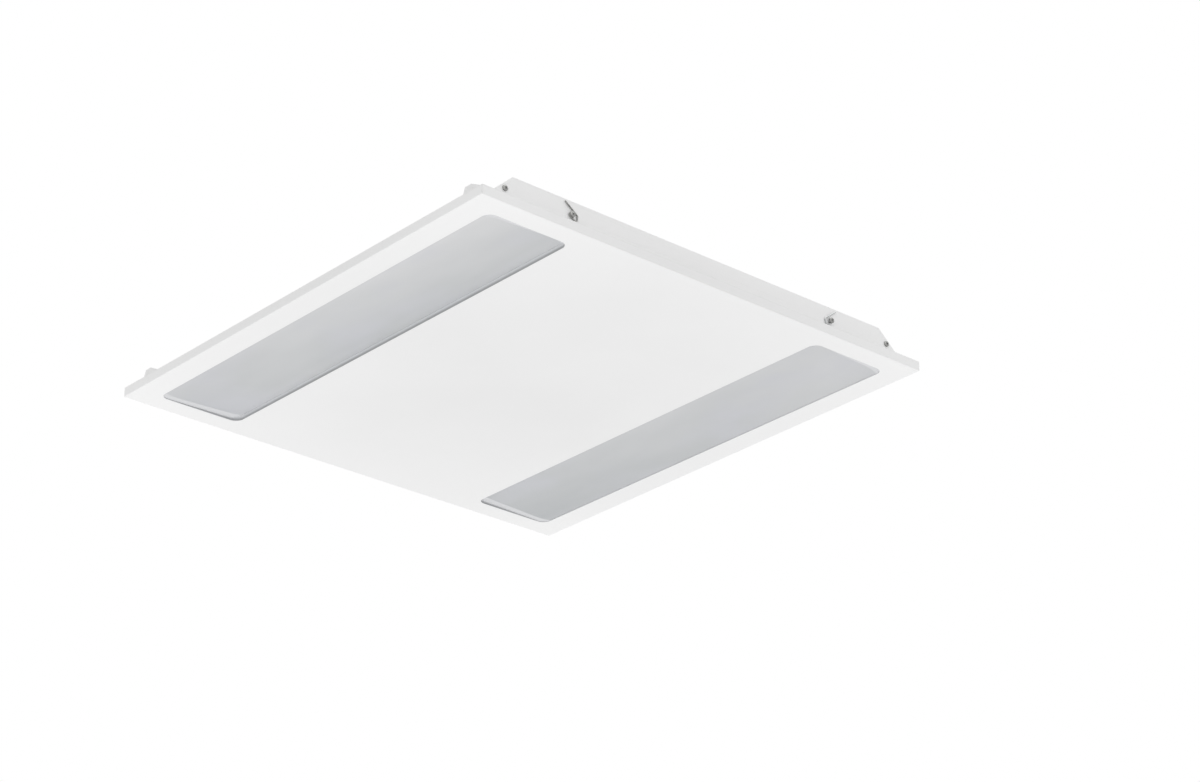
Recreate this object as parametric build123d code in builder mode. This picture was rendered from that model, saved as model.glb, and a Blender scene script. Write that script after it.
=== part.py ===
# Recessed LED panel for a 600 mm grid ceiling, in millimetres.
# Origin: centre of the visible face, which lies in the plane z = 0. +Z points up into the ceiling void,
# +X runs across the two lenses and +Y along them.
import math
import os

from build123d import *

os.makedirs("parts", exist_ok=True)

# Face and housing
panel_width = 597.0
rim_height = 10.5
sheet = 0.7
bend = 1.2
tight_bend = bend - sheet
face_corner = 1.5
corner_slit = 0.35
corner_slit_length = 12.0
housing_inset = 12.0
housing_top = 39.5
skirt_top = 8.0
slope_inset = 47.5
foot_width = 9.6

# Windows and lenses
window_edge = 29.0
window_end_edge = 25.5
window_width = 101.0
window_corner = 10.0
recess_outer = 1.0
recess_inner = 5.6
lens_thickness = 2.0
lens_side_margin = 4.5
lens_end_margin = 5.0
lens_bevel = 6.0
bevel_share = 0.5

# Light troughs, boards and light sources
trough_sheet = 0.6
trough_top = 29.0
trough_root = 1.5
trough_top_width = 54.0
board_width = 24.0
board_thickness = 1.6
board_gap = 22.0
board_end_gap = 26.0
led_size = 3.0
led_height = 0.8
led_count = 12
board_screw_radius = 1.5
board_screw_head = 2.8
board_screw_head_height = 1.7
board_screw_reach = 2.4
board_screw_inset = 23.0
connector_width = 14.0
connector_length = 18.0
connector_height = 11.0
connector_lip = 2.0
spring_length = 70.0
spring_width = 12.0
spring_thickness = 0.5
spring_foot = 8.0
spring_offset = 21.0
spring_rivet_radius = 2.0
spring_rivet_head = 3.6

# Fasteners between the sheets
thread_radius = 2.0
hole_clearance = 0.2
thread_clearance = 0.05
stud_length = 6.0
nut_across = 7.0
nut_height = 3.2
screw_z = 24.0
corner_screw_inset = 37.5
pivot_screw_inset = 121.0
screw_radius = 1.5
screw_head_radius = 3.1
screw_head_height = 2.0
screw_recess = 0.9
clinch_radius = 4.2
clinch_height = 2.2
thread_past_nut = 1.0
flange_bottom = 17.0
rivet_head_height = 1.0
bay_rivet_radius = 1.6
bay_rivet_head = 3.2

# Wire catches on the pivot screws
wire_radius = 0.7
shoulder_radius = 1.9
eye_clearance = 0.06
catch_side_gap = 0.2
arm_end = (-8.0, 12.8)
arm_elbow = (7.8, 1.0)
hook_tip = (6.8, -6.2)
eye_gap_angle = 66.0
wire_bend = 1.9

# Grid clips behind the rim
clip_width = 24.5
clip_height = 27.0
clip_low = 20.5
clip_ramp = 12.5
clip_shoulder = 2.6
clip_near_inset = 17.7
clip_far_inset = 44.6
clip_foot = 7.5

# Driver
driver_width = 60.0
driver_length = 230.0
driver_height = 24.0
driver_bay_gap = 35.0
driver_ear = 12.0
driver_gap = 0.3
driver_board_gap = 2.2
driver_screw_radius = 2.0
driver_screw_head = 4.0
driver_post_radius = 3.0
core_size = (30.0, 32.0, 15.0)
bobbin_size = (21.0, 41.6, 12.0)
choke_radius = 9.0
choke_drum_radius = 7.2
choke_flange = 2.0
choke_height = 12.0
capacitor_radius = 5.5
capacitor_height = 15.0
terminal_width = 24.0
terminal_length = 13.0
terminal_height = 11.0
led_port_pitch = 4.8
cover_lip = 9.0

# Terminal bay, block and buttons
bay_width = 140.0
bay_length = 60.0
bay_depth = 27.0
bay_flange = 8.0
bay_inset = 113.5
bay_corner = 3.0
bay_rivet_inset = 10.0
opening_width = 88.0
opening_margin = 6.0
opening_x = -14.0
block_length = 30.0
block_height = 16.0
block_x = -22.0
pole_pitch = 8.0
pole_count = 3
block_wall = 2.0
wire_hole_radius = 1.7
wire_hole_depth = 11.0
wire_hole_z = 5.2
button_length = 6.0
button_width = 4.0
button_height = 7.5
button_proud = 1.6
button_travel = 1.2
button_clearance = 0.12
button_inset = 8.0

# Lid and its hinge
lid_lap = 4.0
lid_gap = 0.3
pin_radius = 1.25
pin_proud = 0.7
knuckle_clearance = 0.05
ear_clearance = 0.03
knuckle_length = 14.0
knuckle_spacing = 58.0
ear_thickness = 1.2
ear_gap = 0.4
ear_foot = 9.0
ear_foot_length = 11.0
ear_foot_thickness = 0.9
ear_rivet_step = 5.2
snap_width = 14.0
snap_depth = 4.5
snap_gap = 0.9

# Cable inlet, bush, earth stud, leads and suspension nuts
inlet_x = 49.0
inlet_radius = 5.0
inlet_wall = 2.0
inlet_lip = 2.6
inlet_lip_height = 2.0
bush_width = 21.0
bush_height = 9.0
bush_wall = 1.5
bush_lip = 2.0
lead_radius = 1.1
lead_z = 6.0
lead_turn = 6.0
lead_arc_share = 0.45
led_lead_straight = 35.0
led_lead_bend_x = 63.0
led_lead_bend_y = 60.0
led_lead_far_x = 94.0
led_lead_far_y = 24.0
led_lead_turn_x = 26.0
led_lead_turn_y = 36.0
led_lead_rise = 2.0
led_lead_end = 20.0
saddle_length = 16.0
saddle_share = 0.46
earth_x = -59.0
earth_stud_length = 9.0
earth_ring_radius = 5.5
earth_ring_thickness = 1.0
rivnut_x = 130.0
rivnut_inset = 58.5
rivnut_bore = 2.5
rivnut_radius = 3.5
rivnut_flange = 5.5
rivnut_flange_height = 1.0
rivnut_length = 12.0
fit = 0.05

# Vents over the driver
vent_length = 22.0
vent_width = 2.5
vent_pitch = 9.0
vent_count = 8

# Places that follow from the sizes above
half_side = panel_width / 2
window_length = panel_width - 2 * window_end_edge
stud_spacing = panel_width / 3
rivnut_y = half_side - rivnut_inset
bay_y = -half_side + bay_inset
opening_length = bay_length - 2 * opening_margin
bay_rivet_step = bay_length / 2 - bay_rivet_inset
half_house = half_side - housing_inset
half_top = half_side - slope_inset
inner_house = half_house - sheet
ceiling = housing_top - sheet
window_outer_x = -(half_side - window_edge)
window_x = window_outer_x + window_width / 2
slope_run = (half_house - half_top) / (housing_top - skirt_top)
flange_top = housing_top - sheet / 2
board_length = (window_length - board_gap) / 2 - board_end_gap
board_half_pitch = (board_length + board_gap) / 2
board_screw_spacing = board_length / 2 - board_screw_inset
led_pitch = board_length / led_count
spring_y = board_half_pitch + spring_offset
driver_bottom = ceiling - driver_height
driver_start_y = bay_y + bay_length / 2 + driver_bay_gap
driver_end_y = driver_start_y + driver_length
driver_centre_y = driver_start_y + driver_length / 2
bay_floor = ceiling - bay_depth
block_width = pole_count * pole_pitch + 2 * block_wall
block_bottom = bay_floor + sheet
block_top = block_bottom + block_height
hinge_y = bay_y + opening_length / 2 + lid_lap + pin_radius
knuckle_radius = pin_radius + knuckle_clearance + sheet
hinge_z = housing_top + lid_gap + knuckle_radius
ear_reach = knuckle_spacing / 2 + knuckle_length / 2 + ear_gap
ear_foot_middle = ear_reach + ear_foot / 2
bay_rivet_places = [
    (sx * (bay_width + bay_flange) / 2, bay_y + sy * bay_rivet_step) for sx in (-1, 1) for sy in (-1, 1)
]
ear_rivet_places = [(opening_x + s * ear_foot_middle, hinge_y + ear_rivet_step) for s in (-1, 1)]
led_port_steps = (-led_port_pitch / 2, led_port_pitch / 2)
connector_port_z = trough_top + trough_sheet + connector_height / 4
upright = (Align.CENTER, Align.CENTER, Align.MIN)
hanging = (Align.CENTER, Align.CENTER, Align.MAX)


def save(builder, node):
    """Labels a finished piece and writes it."""
    builder.part.label = node
    export_step(builder.part, f"parts/{node}.step")


def both_sides(builder, node):
    """Writes the piece over the left lens and its mirror image over the right one."""
    save(builder, f"{node}_left")
    with BuildPart() as other:
        mirror(builder.part, about=Plane.YZ)
    save(other, f"{node}_right")


def flat_level(u):
    """Height of the lens's lower face, u from the window's outer edge."""
    return recess_outer + (recess_inner - recess_outer) * u / window_width


def margin_level(u):
    """The same height at the lens's ends, where the bevel has come down towards the face."""
    return sheet + (flat_level(u) - sheet) * bevel_share


def slope_x(z):
    """Outer face of the housing's sloping side at height z."""
    return half_house - (z - skirt_top) * slope_run


def lens_band(y, level, thickness, margin):
    """Cross-section at one y, standing on one of the two lens levels."""
    left, right = -margin, window_width + margin
    with BuildSketch(Plane.XZ.offset(-y)) as band:
        with BuildLine():
            Polyline(
                (window_outer_x + left, level(left)),
                (window_outer_x + right, level(right)),
                (window_outer_x + right, level(right) + thickness),
                (window_outer_x + left, level(left) + thickness),
                close=True,
            )
        make_face()
    return band.sketch


def lens_bands(thickness, margin, end_margin):
    """Cross-sections along a lens, from one end margin over both bevels to the other."""
    flat_end = window_length / 2 - lens_bevel
    stations = [
        (-window_length / 2 - end_margin, margin_level),
        (-window_length / 2, margin_level),
        (-flat_end, flat_level),
        (flat_end, flat_level),
        (window_length / 2, margin_level),
        (window_length / 2 + end_margin, margin_level),
    ]
    return [lens_band(y, level, thickness, margin) for y, level in stations]


def window_outline(grow, mode=Mode.ADD):
    """Sketch outline of a window, grown by an allowance."""
    RectangleRounded(window_width + 2 * grow, window_length + 2 * grow, window_corner + grow, mode=mode)


# Lens: a moulded plate, tilted in its window and bevelled at both ends
lens_sections = lens_bands(lens_thickness, lens_side_margin, lens_end_margin)
with BuildPart() as lens:
    loft(lens_sections, ruled=True)
both_sides(lens, "lens")

# Space that a lens seats in, used to cut the lip under it
space_sections = lens_bands(housing_top, lens_side_margin, lens_end_margin)
with BuildPart() as lens_space:
    loft(space_sections, ruled=True)

# Turned-in lip round a window
with BuildPart() as window_lip:
    with BuildSketch(Plane.XY):
        with Locations((window_x, 0)):
            window_outline(sheet)
            window_outline(0, Mode.SUBTRACT)
    extrude(amount=recess_inner + lens_thickness)
    add(lens_space.part, mode=Mode.SUBTRACT)

# Front plate: visible face, low folded rim and the two windows
with BuildPart() as front_plate:
    Box(panel_width, panel_width, rim_height, align=upright)
    fillet(front_plate.edges().filter_by(Axis.Z), radius=face_corner)
    fillet(front_plate.faces().sort_by(Axis.Z)[0].edges(), radius=bend)
    offset(amount=-sheet, openings=front_plate.faces().sort_by(Axis.Z)[-1])
    with Locations((0, 0, bend)):
        with PolarLocations(half_side * math.sqrt(2), 4, start_angle=45):
            Box(corner_slit_length, corner_slit, rim_height, align=upright, mode=Mode.SUBTRACT)
    with BuildSketch(Plane.XY):
        with Locations((window_x, 0), (-window_x, 0)):
            window_outline(0)
    extrude(amount=sheet, mode=Mode.SUBTRACT)
    add(window_lip.part)
    mirror(window_lip.part, about=Plane.YZ)
    window_rims = front_plate.faces().sort_by(Axis.Z)[0].inner_wires().edges()
    fillet(window_rims, radius=tight_bend)
save(front_plate, "front_plate")


def stud_places():
    """Weld studs in the channel between rim and housing, as (x, y)."""
    line = half_house + foot_width / 2 + fit
    steps = [-stud_spacing, 0, stud_spacing]
    return [(s * line, t) for s in (-1, 1) for t in steps] + [(t, s * line) for s in (-1, 1) for t in steps]


# Weld studs on the front plate's inner face
with BuildPart() as plate_studs:
    with BuildSketch(Plane.XY.offset(sheet)):
        with Locations(*stud_places()):
            Circle(thread_radius)
    extrude(amount=stud_length)
save(plate_studs, "plate_studs")

# Nuts that hold the feet of the housing
with BuildPart() as foot_nuts:
    with BuildSketch(Plane.XY.offset(2 * sheet)):
        with Locations(*stud_places()):
            RegularPolygon(nut_across / 2, 6, major_radius=False)
            Circle(thread_radius + thread_clearance, mode=Mode.SUBTRACT)
    extrude(amount=nut_height)
save(foot_nuts, "foot_nuts")


def end_screw_places():
    """The four screws in an end plate, as distances from the centre along X."""
    corner = half_side - corner_screw_inset
    pivot = half_side - pivot_screw_inset
    return [-corner, -pivot, pivot, corner]


# Outline of the housing seen along Y, feet left out
housing_outline = [
    (-half_house, sheet),
    (-half_house, skirt_top),
    (-half_top, housing_top),
    (half_top, housing_top),
    (half_house, skirt_top),
    (half_house, sheet),
]

# Back box: one folded sheet with outward feet, sloping sides, top and a return flange at each end
with BuildPart() as back_box:
    with BuildSketch(Plane.XZ):
        with BuildLine():
            FilletPolyline(
                (-half_house - foot_width, 2 * sheet),
                (-half_house, 2 * sheet),
                (-half_house, skirt_top),
                (-half_top, housing_top),
                (half_top, housing_top),
                (half_house, skirt_top),
                (half_house, 2 * sheet),
                (half_house + foot_width, 2 * sheet),
                radius=[tight_bend, bend, bend, bend, bend, tight_bend],
            )
            offset(amount=sheet, side=Side.RIGHT)
        make_face()
    extrude(amount=inner_house, both=True)
    with BuildSketch(Plane.XZ.offset(inner_house), Plane.XZ.offset(-inner_house + sheet)):
        with BuildLine():
            Polyline(
                (-slope_x(flange_bottom) + sheet / 2, flange_bottom),
                (-slope_x(flange_top) + sheet / 2, flange_top),
                (slope_x(flange_top) - sheet / 2, flange_top),
                (slope_x(flange_bottom) - sheet / 2, flange_bottom),
                close=True,
            )
        make_face()
        with Locations(*[(x, screw_z) for x in end_screw_places()]):
            Circle(screw_radius + hole_clearance, mode=Mode.SUBTRACT)
    extrude(amount=-sheet)
    with BuildSketch(Plane.XY.offset(ceiling)):
        with Locations((opening_x, bay_y)):
            RectangleRounded(opening_width, opening_length, bay_corner)
        with Locations((inlet_x, bay_y)):
            Circle(inlet_radius + inlet_wall)
        with Locations((0, 0)):
            with GridLocations(2 * rivnut_x, 2 * rivnut_y, 2, 2):
                Circle(rivnut_radius + fit)
        with Locations((0, driver_start_y - driver_ear / 2), (0, driver_end_y + driver_ear / 2)):
            Circle(driver_screw_radius + hole_clearance)
        with Locations(*bay_rivet_places, *ear_rivet_places):
            Circle(bay_rivet_radius + fit)
        with Locations((-driver_width, driver_centre_y), (driver_width, driver_centre_y)):
            with GridLocations(0, vent_pitch, 1, vent_count):
                SlotOverall(vent_length, vent_width)
    extrude(amount=sheet, mode=Mode.SUBTRACT)
    with BuildSketch(Plane.XY.offset(sheet)):
        with Locations(*[place for place in stud_places() if abs(place[0]) > half_house]):
            Circle(thread_radius + hole_clearance)
    extrude(amount=sheet, mode=Mode.SUBTRACT)
save(back_box, "back_box")

# End plate: a tall wall with sloped corners on an outward foot
with BuildPart() as end_plate:
    with BuildSketch(Plane.YZ):
        with BuildLine():
            FilletPolyline(
                (-half_house - foot_width, sheet),
                (-inner_house, sheet),
                (-inner_house, housing_top),
                radius=bend,
            )
            offset(amount=sheet, side=Side.LEFT)
        make_face()
    extrude(amount=half_house, both=True)
    with BuildSketch(Plane.XZ):
        with BuildLine():
            Polyline(*housing_outline, close=True)
        make_face()
    extrude(amount=panel_width, both=True, mode=Mode.INTERSECT)
    with BuildSketch(Plane.XZ.offset(inner_house)):
        with Locations(*[(x, screw_z) for x in end_screw_places()]):
            Circle(screw_radius + hole_clearance)
    extrude(amount=sheet, mode=Mode.SUBTRACT)
    with BuildSketch(Plane.XY.offset(sheet)):
        with Locations(*[place for place in stud_places() if place[1] < -half_house]):
            Circle(thread_radius + hole_clearance)
    extrude(amount=sheet, mode=Mode.SUBTRACT)
save(end_plate, "end_plate_front")
with BuildPart() as end_plate_rear:
    mirror(end_plate.part, about=Plane.XZ)
save(end_plate_rear, "end_plate_rear")


def front_and_rear(builder, node):
    """Writes what sits on the front end plate together with its mirror image on the rear one."""
    with BuildPart() as pair:
        add(builder.part)
        mirror(builder.part, about=Plane.XZ)
    save(pair, node)


shank_end = inner_house - sheet - clinch_height - thread_past_nut
shoulder_length = 2 * wire_radius + 2 * catch_side_gap


def end_screws(places, shoulder, node):
    """Cross-recessed screws through the end plates, each head held off by a shoulder of that length."""
    head_start = half_house + shoulder
    with BuildPart() as screws:
        with BuildSketch(Plane.XZ.offset(shank_end)):
            with Locations(*places):
                Circle(screw_radius)
        extrude(amount=half_house - shank_end)
        if shoulder:
            with BuildSketch(Plane.XZ.offset(half_house)):
                with Locations(*places):
                    Circle(shoulder_radius)
            extrude(amount=shoulder)
        with BuildSketch(Plane.XZ.offset(head_start)):
            with Locations(*places):
                Circle(screw_head_radius)
        extrude(amount=screw_head_height)
        fillet(screws.faces().filter_by(Axis.Y).sort_by(Axis.Y)[0:2].edges(), radius=tight_bend)
        with BuildSketch(Plane.XZ.offset(head_start + screw_head_height)):
            with Locations(*places):
                Rectangle(screw_head_radius, screw_recess)
                Rectangle(screw_recess, screw_head_radius)
        extrude(amount=-screw_recess, mode=Mode.SUBTRACT)
    front_and_rear(screws, node)


screw_places = [(x, screw_z) for x in end_screw_places()]
end_screws(screw_places[::3], 0, "corner_screws")
end_screws(screw_places[1:3], shoulder_length, "pivot_screws")

# Clinch nuts pressed into the return flanges behind every end screw
with BuildPart() as clinch_nuts:
    with BuildSketch(Plane.XZ.offset(inner_house - sheet)):
        with Locations(*screw_places):
            Circle(clinch_radius)
            Circle(screw_radius + thread_clearance, mode=Mode.SUBTRACT)
    extrude(amount=-clinch_height)
front_and_rear(clinch_nuts, "clinch_nuts")

eye_radius = shoulder_radius + eye_clearance + wire_radius
hook_distance = math.hypot(*hook_tip)
tangent_angle = math.atan2(hook_tip[1], hook_tip[0]) - math.acos(eye_radius / hook_distance)
tail_start = (eye_radius * math.cos(tangent_angle), eye_radius * math.sin(tangent_angle))

# Wire catch: an eye round the shoulder, a hook below it and an arm over it, in the plane of the end wall
with BuildPart() as swing_catch:
    catch_plane = Plane(
        origin=(end_screw_places()[1], -half_house - shoulder_length / 2, screw_z),
        x_dir=(1, 0, 0),
        z_dir=(0, -1, 0),
    )
    with BuildLine(catch_plane) as wire_line:
        CenterArc((0, 0), eye_radius, math.degrees(tangent_angle) + eye_gap_angle, 360 - eye_gap_angle)
        FilletPolyline(tail_start, hook_tip, arm_elbow, arm_end, radius=wire_bend)
    with BuildSketch(Plane(origin=wire_line.line @ 0, z_dir=wire_line.line % 0)):
        Circle(wire_radius)
    sweep(path=wire_line.line)
save(swing_catch, "swing_catch_1")
with BuildPart() as swing_catch_2:
    mirror(swing_catch.part, about=Plane.YZ)
save(swing_catch_2, "swing_catch_2")
with BuildPart() as swing_catch_3:
    mirror(swing_catch.part, about=Plane.XZ)
save(swing_catch_3, "swing_catch_3")
with BuildPart() as swing_catch_4:
    mirror(swing_catch_2.part, about=Plane.XZ)
save(swing_catch_4, "swing_catch_4")


def grid_clip(start_y):
    """Upright tab on a foot, on the left long side, starting at start_y."""
    with BuildPart() as clip:
        with BuildSketch(Plane.XZ.offset(-start_y)):
            with BuildLine():
                FilletPolyline(
                    (-half_house - clip_foot, 2 * sheet),
                    (-half_house, 2 * sheet),
                    (-half_house, clip_height),
                    radius=bend,
                )
                offset(amount=sheet, side=Side.LEFT)
            make_face()
        extrude(amount=-clip_width)
        with BuildSketch(Plane.YZ):
            with BuildLine():
                Polyline(
                    (start_y, 0),
                    (start_y, clip_low),
                    (start_y + clip_ramp, clip_height),
                    (start_y + clip_width - clip_shoulder, clip_height),
                    (start_y + clip_width, clip_low),
                    (start_y + clip_width, 0),
                    close=True,
                )
            make_face()
        extrude(amount=-panel_width, mode=Mode.INTERSECT)
    return clip


# Grid clips: two on each long side
clip_starts = (-half_side + clip_near_inset, half_side - clip_far_inset)
for number, clip_start in enumerate(clip_starts, start=1):
    clip = grid_clip(clip_start)
    save(clip, f"grid_clip_{number}")
    with BuildPart() as turned_clip:
        mirror(clip.part, about=Plane.YZ)
    save(turned_clip, f"grid_clip_{number + 2}")

lens_top_outer = flat_level(-lens_side_margin) + lens_thickness
lens_top_inner = flat_level(window_width + lens_side_margin) + lens_thickness
trough_length = window_length - 2 * lens_bevel - 2 * sheet
trough_side = (window_width - trough_top_width) / 2
trough_points = [
    (window_outer_x + u, z)
    for u, z in (
        (-lens_side_margin, lens_top_outer),
        (trough_root, flat_level(trough_root) + lens_thickness),
        (trough_side, trough_top),
        (window_width - trough_side, trough_top),
        (window_width - trough_root, flat_level(window_width - trough_root) + lens_thickness),
        (window_width + lens_side_margin, lens_top_inner),
    )
]

# Light trough: folded white sheet with closed ends, standing on the lens's margins
with BuildPart() as trough:
    with BuildSketch(Plane.XZ):
        with BuildLine():
            Polyline(*trough_points)
            offset(amount=trough_sheet, side=Side.LEFT)
        make_face()
    extrude(amount=trough_length / 2, both=True)
    with BuildSketch(Plane.XZ.offset(trough_length / 2), Plane.XZ.offset(-trough_length / 2 + trough_sheet)):
        with BuildLine():
            Polyline(*trough_points[1:5], close=True)
        make_face()
    extrude(amount=-trough_sheet)
    with BuildSketch(Plane.XY.offset(trough_top)):
        with Locations((window_x, 0)):
            Rectangle(connector_width + 2 * fit, connector_length + 2 * fit)
            with GridLocations(0, 2 * board_half_pitch, 1, 2):
                with GridLocations(0, board_screw_spacing, 1, 3):
                    Circle(board_screw_radius + thread_clearance)
            with GridLocations(0, 2 * spring_y, 1, 2):
                Circle(spring_rivet_radius + fit)
    extrude(amount=trough_sheet, mode=Mode.SUBTRACT)
both_sides(trough, "light_trough")


def board_screw_places():
    """Screws through the two boards of the left trough."""
    return [
        (window_x, side * board_half_pitch + step * board_screw_spacing)
        for side in (-1, 1)
        for step in (-1, 0, 1)
    ]


# Boards under the trough's web, light sources downwards
with BuildPart() as led_boards:
    with BuildSketch(Plane.XY.offset(trough_top - board_thickness)):
        with Locations((window_x, 0)):
            with GridLocations(0, 2 * board_half_pitch, 1, 2):
                Rectangle(board_width, board_length)
        with Locations(*board_screw_places()):
            Circle(board_screw_radius + hole_clearance, mode=Mode.SUBTRACT)
        with Locations((window_x, spring_y), (window_x, -spring_y)):
            Circle(spring_rivet_head + fit, mode=Mode.SUBTRACT)
    extrude(amount=board_thickness)
both_sides(led_boards, "led_boards")

# Light sources in two rows, one on each side of the screws' line
with BuildPart() as leds:
    with Locations((window_x, 0, trough_top - board_thickness)):
        with GridLocations(0, 2 * board_half_pitch, 1, 2):
            with GridLocations(board_width / 2, led_pitch, 2, led_count):
                Box(led_size, led_size, led_height, align=hanging)
both_sides(leds, "leds")

# Screws that hold the boards
with BuildPart() as board_screws_left:
    with BuildSketch(Plane.XY.offset(trough_top - board_thickness)):
        with Locations(*board_screw_places()):
            Circle(board_screw_head)
    extrude(amount=-board_screw_head_height)
    with BuildSketch(Plane.XY.offset(trough_top - board_thickness)):
        with Locations(*board_screw_places()):
            Circle(board_screw_radius)
    extrude(amount=board_thickness + board_screw_reach)
with BuildPart() as board_screws:
    add(board_screws_left.part)
    mirror(board_screws_left.part, about=Plane.YZ)
save(board_screws, "board_screws")

# Connector block through each web, between the two boards
with BuildPart() as connector:
    with Locations((window_x, 0, trough_top + connector_height / 2)):
        Box(connector_width, connector_length, connector_height, align=hanging)
    fillet(connector.edges().filter_by(Axis.Z), radius=trough_sheet)
    with Locations((window_x, 0, trough_top - board_thickness)):
        Box(connector_width, board_gap + 2 * connector_lip, connector_lip, align=hanging)
    with Locations(*[(window_x + connector_width / 2, y, connector_port_z) for y in led_port_steps]):
        Cylinder(lead_radius + fit, connector_width / 2, rotation=(0, 90, 0), mode=Mode.SUBTRACT)
with BuildPart() as board_connectors:
    add(connector.part)
    mirror(connector.part, about=Plane.YZ)
save(board_connectors, "board_connectors")

web_top = trough_top + trough_sheet

# Bowed leaf springs between the troughs' webs and the back
with BuildPart() as springs_left:
    for y in (-spring_y, spring_y):
        with BuildSketch(Plane.YZ.offset(window_x - spring_width / 2)):
            with BuildLine():
                FilletPolyline(
                    (y - spring_length / 2, ceiling - spring_thickness),
                    (y - spring_length / 2 + spring_foot, ceiling - spring_thickness),
                    (y - spring_foot, web_top),
                    (y + spring_foot, web_top),
                    (y + spring_length / 2 - spring_foot, ceiling - spring_thickness),
                    (y + spring_length / 2, ceiling - spring_thickness),
                    radius=bend,
                )
                offset(amount=spring_thickness, side=Side.LEFT)
            make_face()
        extrude(amount=spring_width)
    with BuildSketch(Plane.XY.offset(web_top)):
        with Locations((window_x, spring_y), (window_x, -spring_y)):
            Circle(spring_rivet_radius + fit)
    extrude(amount=spring_thickness, mode=Mode.SUBTRACT)
with BuildPart() as hold_down_springs:
    add(springs_left.part)
    mirror(springs_left.part, about=Plane.YZ)
save(hold_down_springs, "hold_down_springs")

# Rivets through spring and web
with BuildPart() as rivets_left:
    for y in (-spring_y, spring_y):
        with Locations((window_x, y, trough_top - rivet_head_height)):
            Cylinder(spring_rivet_head, rivet_head_height, align=upright)
        with Locations((window_x, y, trough_top)):
            Cylinder(spring_rivet_radius, trough_sheet + spring_thickness, align=upright)
        with Locations((window_x, y, web_top + spring_thickness)):
            Cylinder(spring_rivet_head, rivet_head_height, align=upright)
with BuildPart() as spring_rivets:
    add(rivets_left.part)
    mirror(rivets_left.part, about=Plane.YZ)
save(spring_rivets, "spring_rivets")

driver_half = driver_width / 2
driver_middle = (0, driver_centre_y)
ear_places = [(0, driver_start_y - driver_ear / 2), (0, driver_end_y + driver_ear / 2)]

# Driver tray: channel under the back, with a fixing ear at each end
with BuildPart() as driver_tray:
    with BuildSketch(Plane.XZ.offset(-driver_start_y)):
        with BuildLine():
            FilletPolyline(
                (-driver_half, driver_bottom + sheet),
                (-driver_half, ceiling),
                (driver_half, ceiling),
                (driver_half, driver_bottom + sheet),
                radius=bend,
            )
            offset(amount=sheet, side=Side.RIGHT)
        make_face()
    extrude(amount=-driver_length)
    with BuildSketch(Plane.XY.offset(ceiling)):
        with Locations(driver_middle):
            RectangleRounded(driver_half, driver_length + 2 * driver_ear, bay_corner)
        with Locations(*ear_places):
            Circle(driver_screw_radius + hole_clearance, mode=Mode.SUBTRACT)
    extrude(amount=-sheet)
save(driver_tray, "driver_tray")

cover_half = driver_half - sheet - driver_gap
cover_height = driver_height - sheet - driver_gap
input_y = driver_start_y
output_y = driver_end_y
driver_board_z = driver_bottom + sheet + driver_board_gap
terminal_z = driver_board_z + board_thickness

# Driver cover: a shallow pan with tall ends, pushed up into the tray
with BuildPart() as driver_cover:
    with Locations((0, driver_centre_y, driver_bottom)):
        Box(2 * cover_half, driver_length, cover_height, align=upright)
    fillet(driver_cover.faces().sort_by(Axis.Z)[0].edges().filter_by(Axis.Y), radius=bend)
    offset(amount=-sheet, openings=driver_cover.faces().sort_by(Axis.Z)[-1])
    with Locations((0, driver_centre_y, driver_bottom + cover_lip)):
        Box(driver_width, driver_length - 2 * sheet, driver_height, align=upright, mode=Mode.SUBTRACT)
    with Locations((0, input_y, terminal_z - fit), (0, output_y, terminal_z - fit)):
        Box(
            terminal_width + 2 * fit,
            terminal_length,
            terminal_height + 2 * fit,
            align=upright,
            mode=Mode.SUBTRACT,
        )
save(driver_cover, "driver_cover")

# Circuit board in the driver, standing on moulded posts
with BuildPart() as driver_board:
    with Locations((0, driver_centre_y, driver_board_z)):
        Box(
            2 * (cover_half - sheet - fit),
            driver_length - 2 * (sheet + fit),
            board_thickness,
            align=upright,
        )
save(driver_board, "driver_board")

# Posts between cover and circuit board
with BuildPart() as board_posts:
    with Locations((0, driver_centre_y, driver_bottom + sheet)):
        with GridLocations(driver_half, driver_length / 2, 2, 2):
            Cylinder(driver_post_radius, driver_board_gap, align=upright)
save(board_posts, "board_posts")

# Transformer: bobbin with a stepped core round it
with BuildPart() as driver_transformer:
    with Locations((0, driver_centre_y, terminal_z)):
        Box(*core_size, align=upright)
        Box(*bobbin_size, align=upright)
    chamfer(driver_transformer.faces().sort_by(Axis.Z)[-1].edges(), length=tight_bend)
save(driver_transformer, "driver_transformer")

# Choke: a wound drum between two flanges
with BuildPart() as driver_choke:
    with Locations((0, driver_centre_y - driver_length / 4, terminal_z)):
        Cylinder(choke_radius, choke_flange, align=upright)
        Cylinder(choke_drum_radius, choke_height, align=upright)
    with Locations((0, driver_centre_y - driver_length / 4, terminal_z + choke_height)):
        Cylinder(choke_radius, choke_flange, align=hanging)
save(driver_choke, "driver_choke")

# Capacitors beyond the transformer
with BuildPart() as driver_capacitors:
    with Locations((0, driver_centre_y + driver_length / 4, terminal_z)):
        with GridLocations(3 * capacitor_radius, 3 * capacitor_radius, 2, 2):
            Cylinder(capacitor_radius, capacitor_height, align=upright)
    fillet(driver_capacitors.faces().sort_by(Axis.Z)[-4:].edges(), radius=tight_bend)
save(driver_capacitors, "driver_capacitors")


port_z = terminal_z + terminal_height / 2
input_ports = (-pole_pitch / 2, pole_pitch / 2)
output_ports = [step * led_port_pitch for step in (-1.5, -0.5, 0.5, 1.5)]


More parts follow.
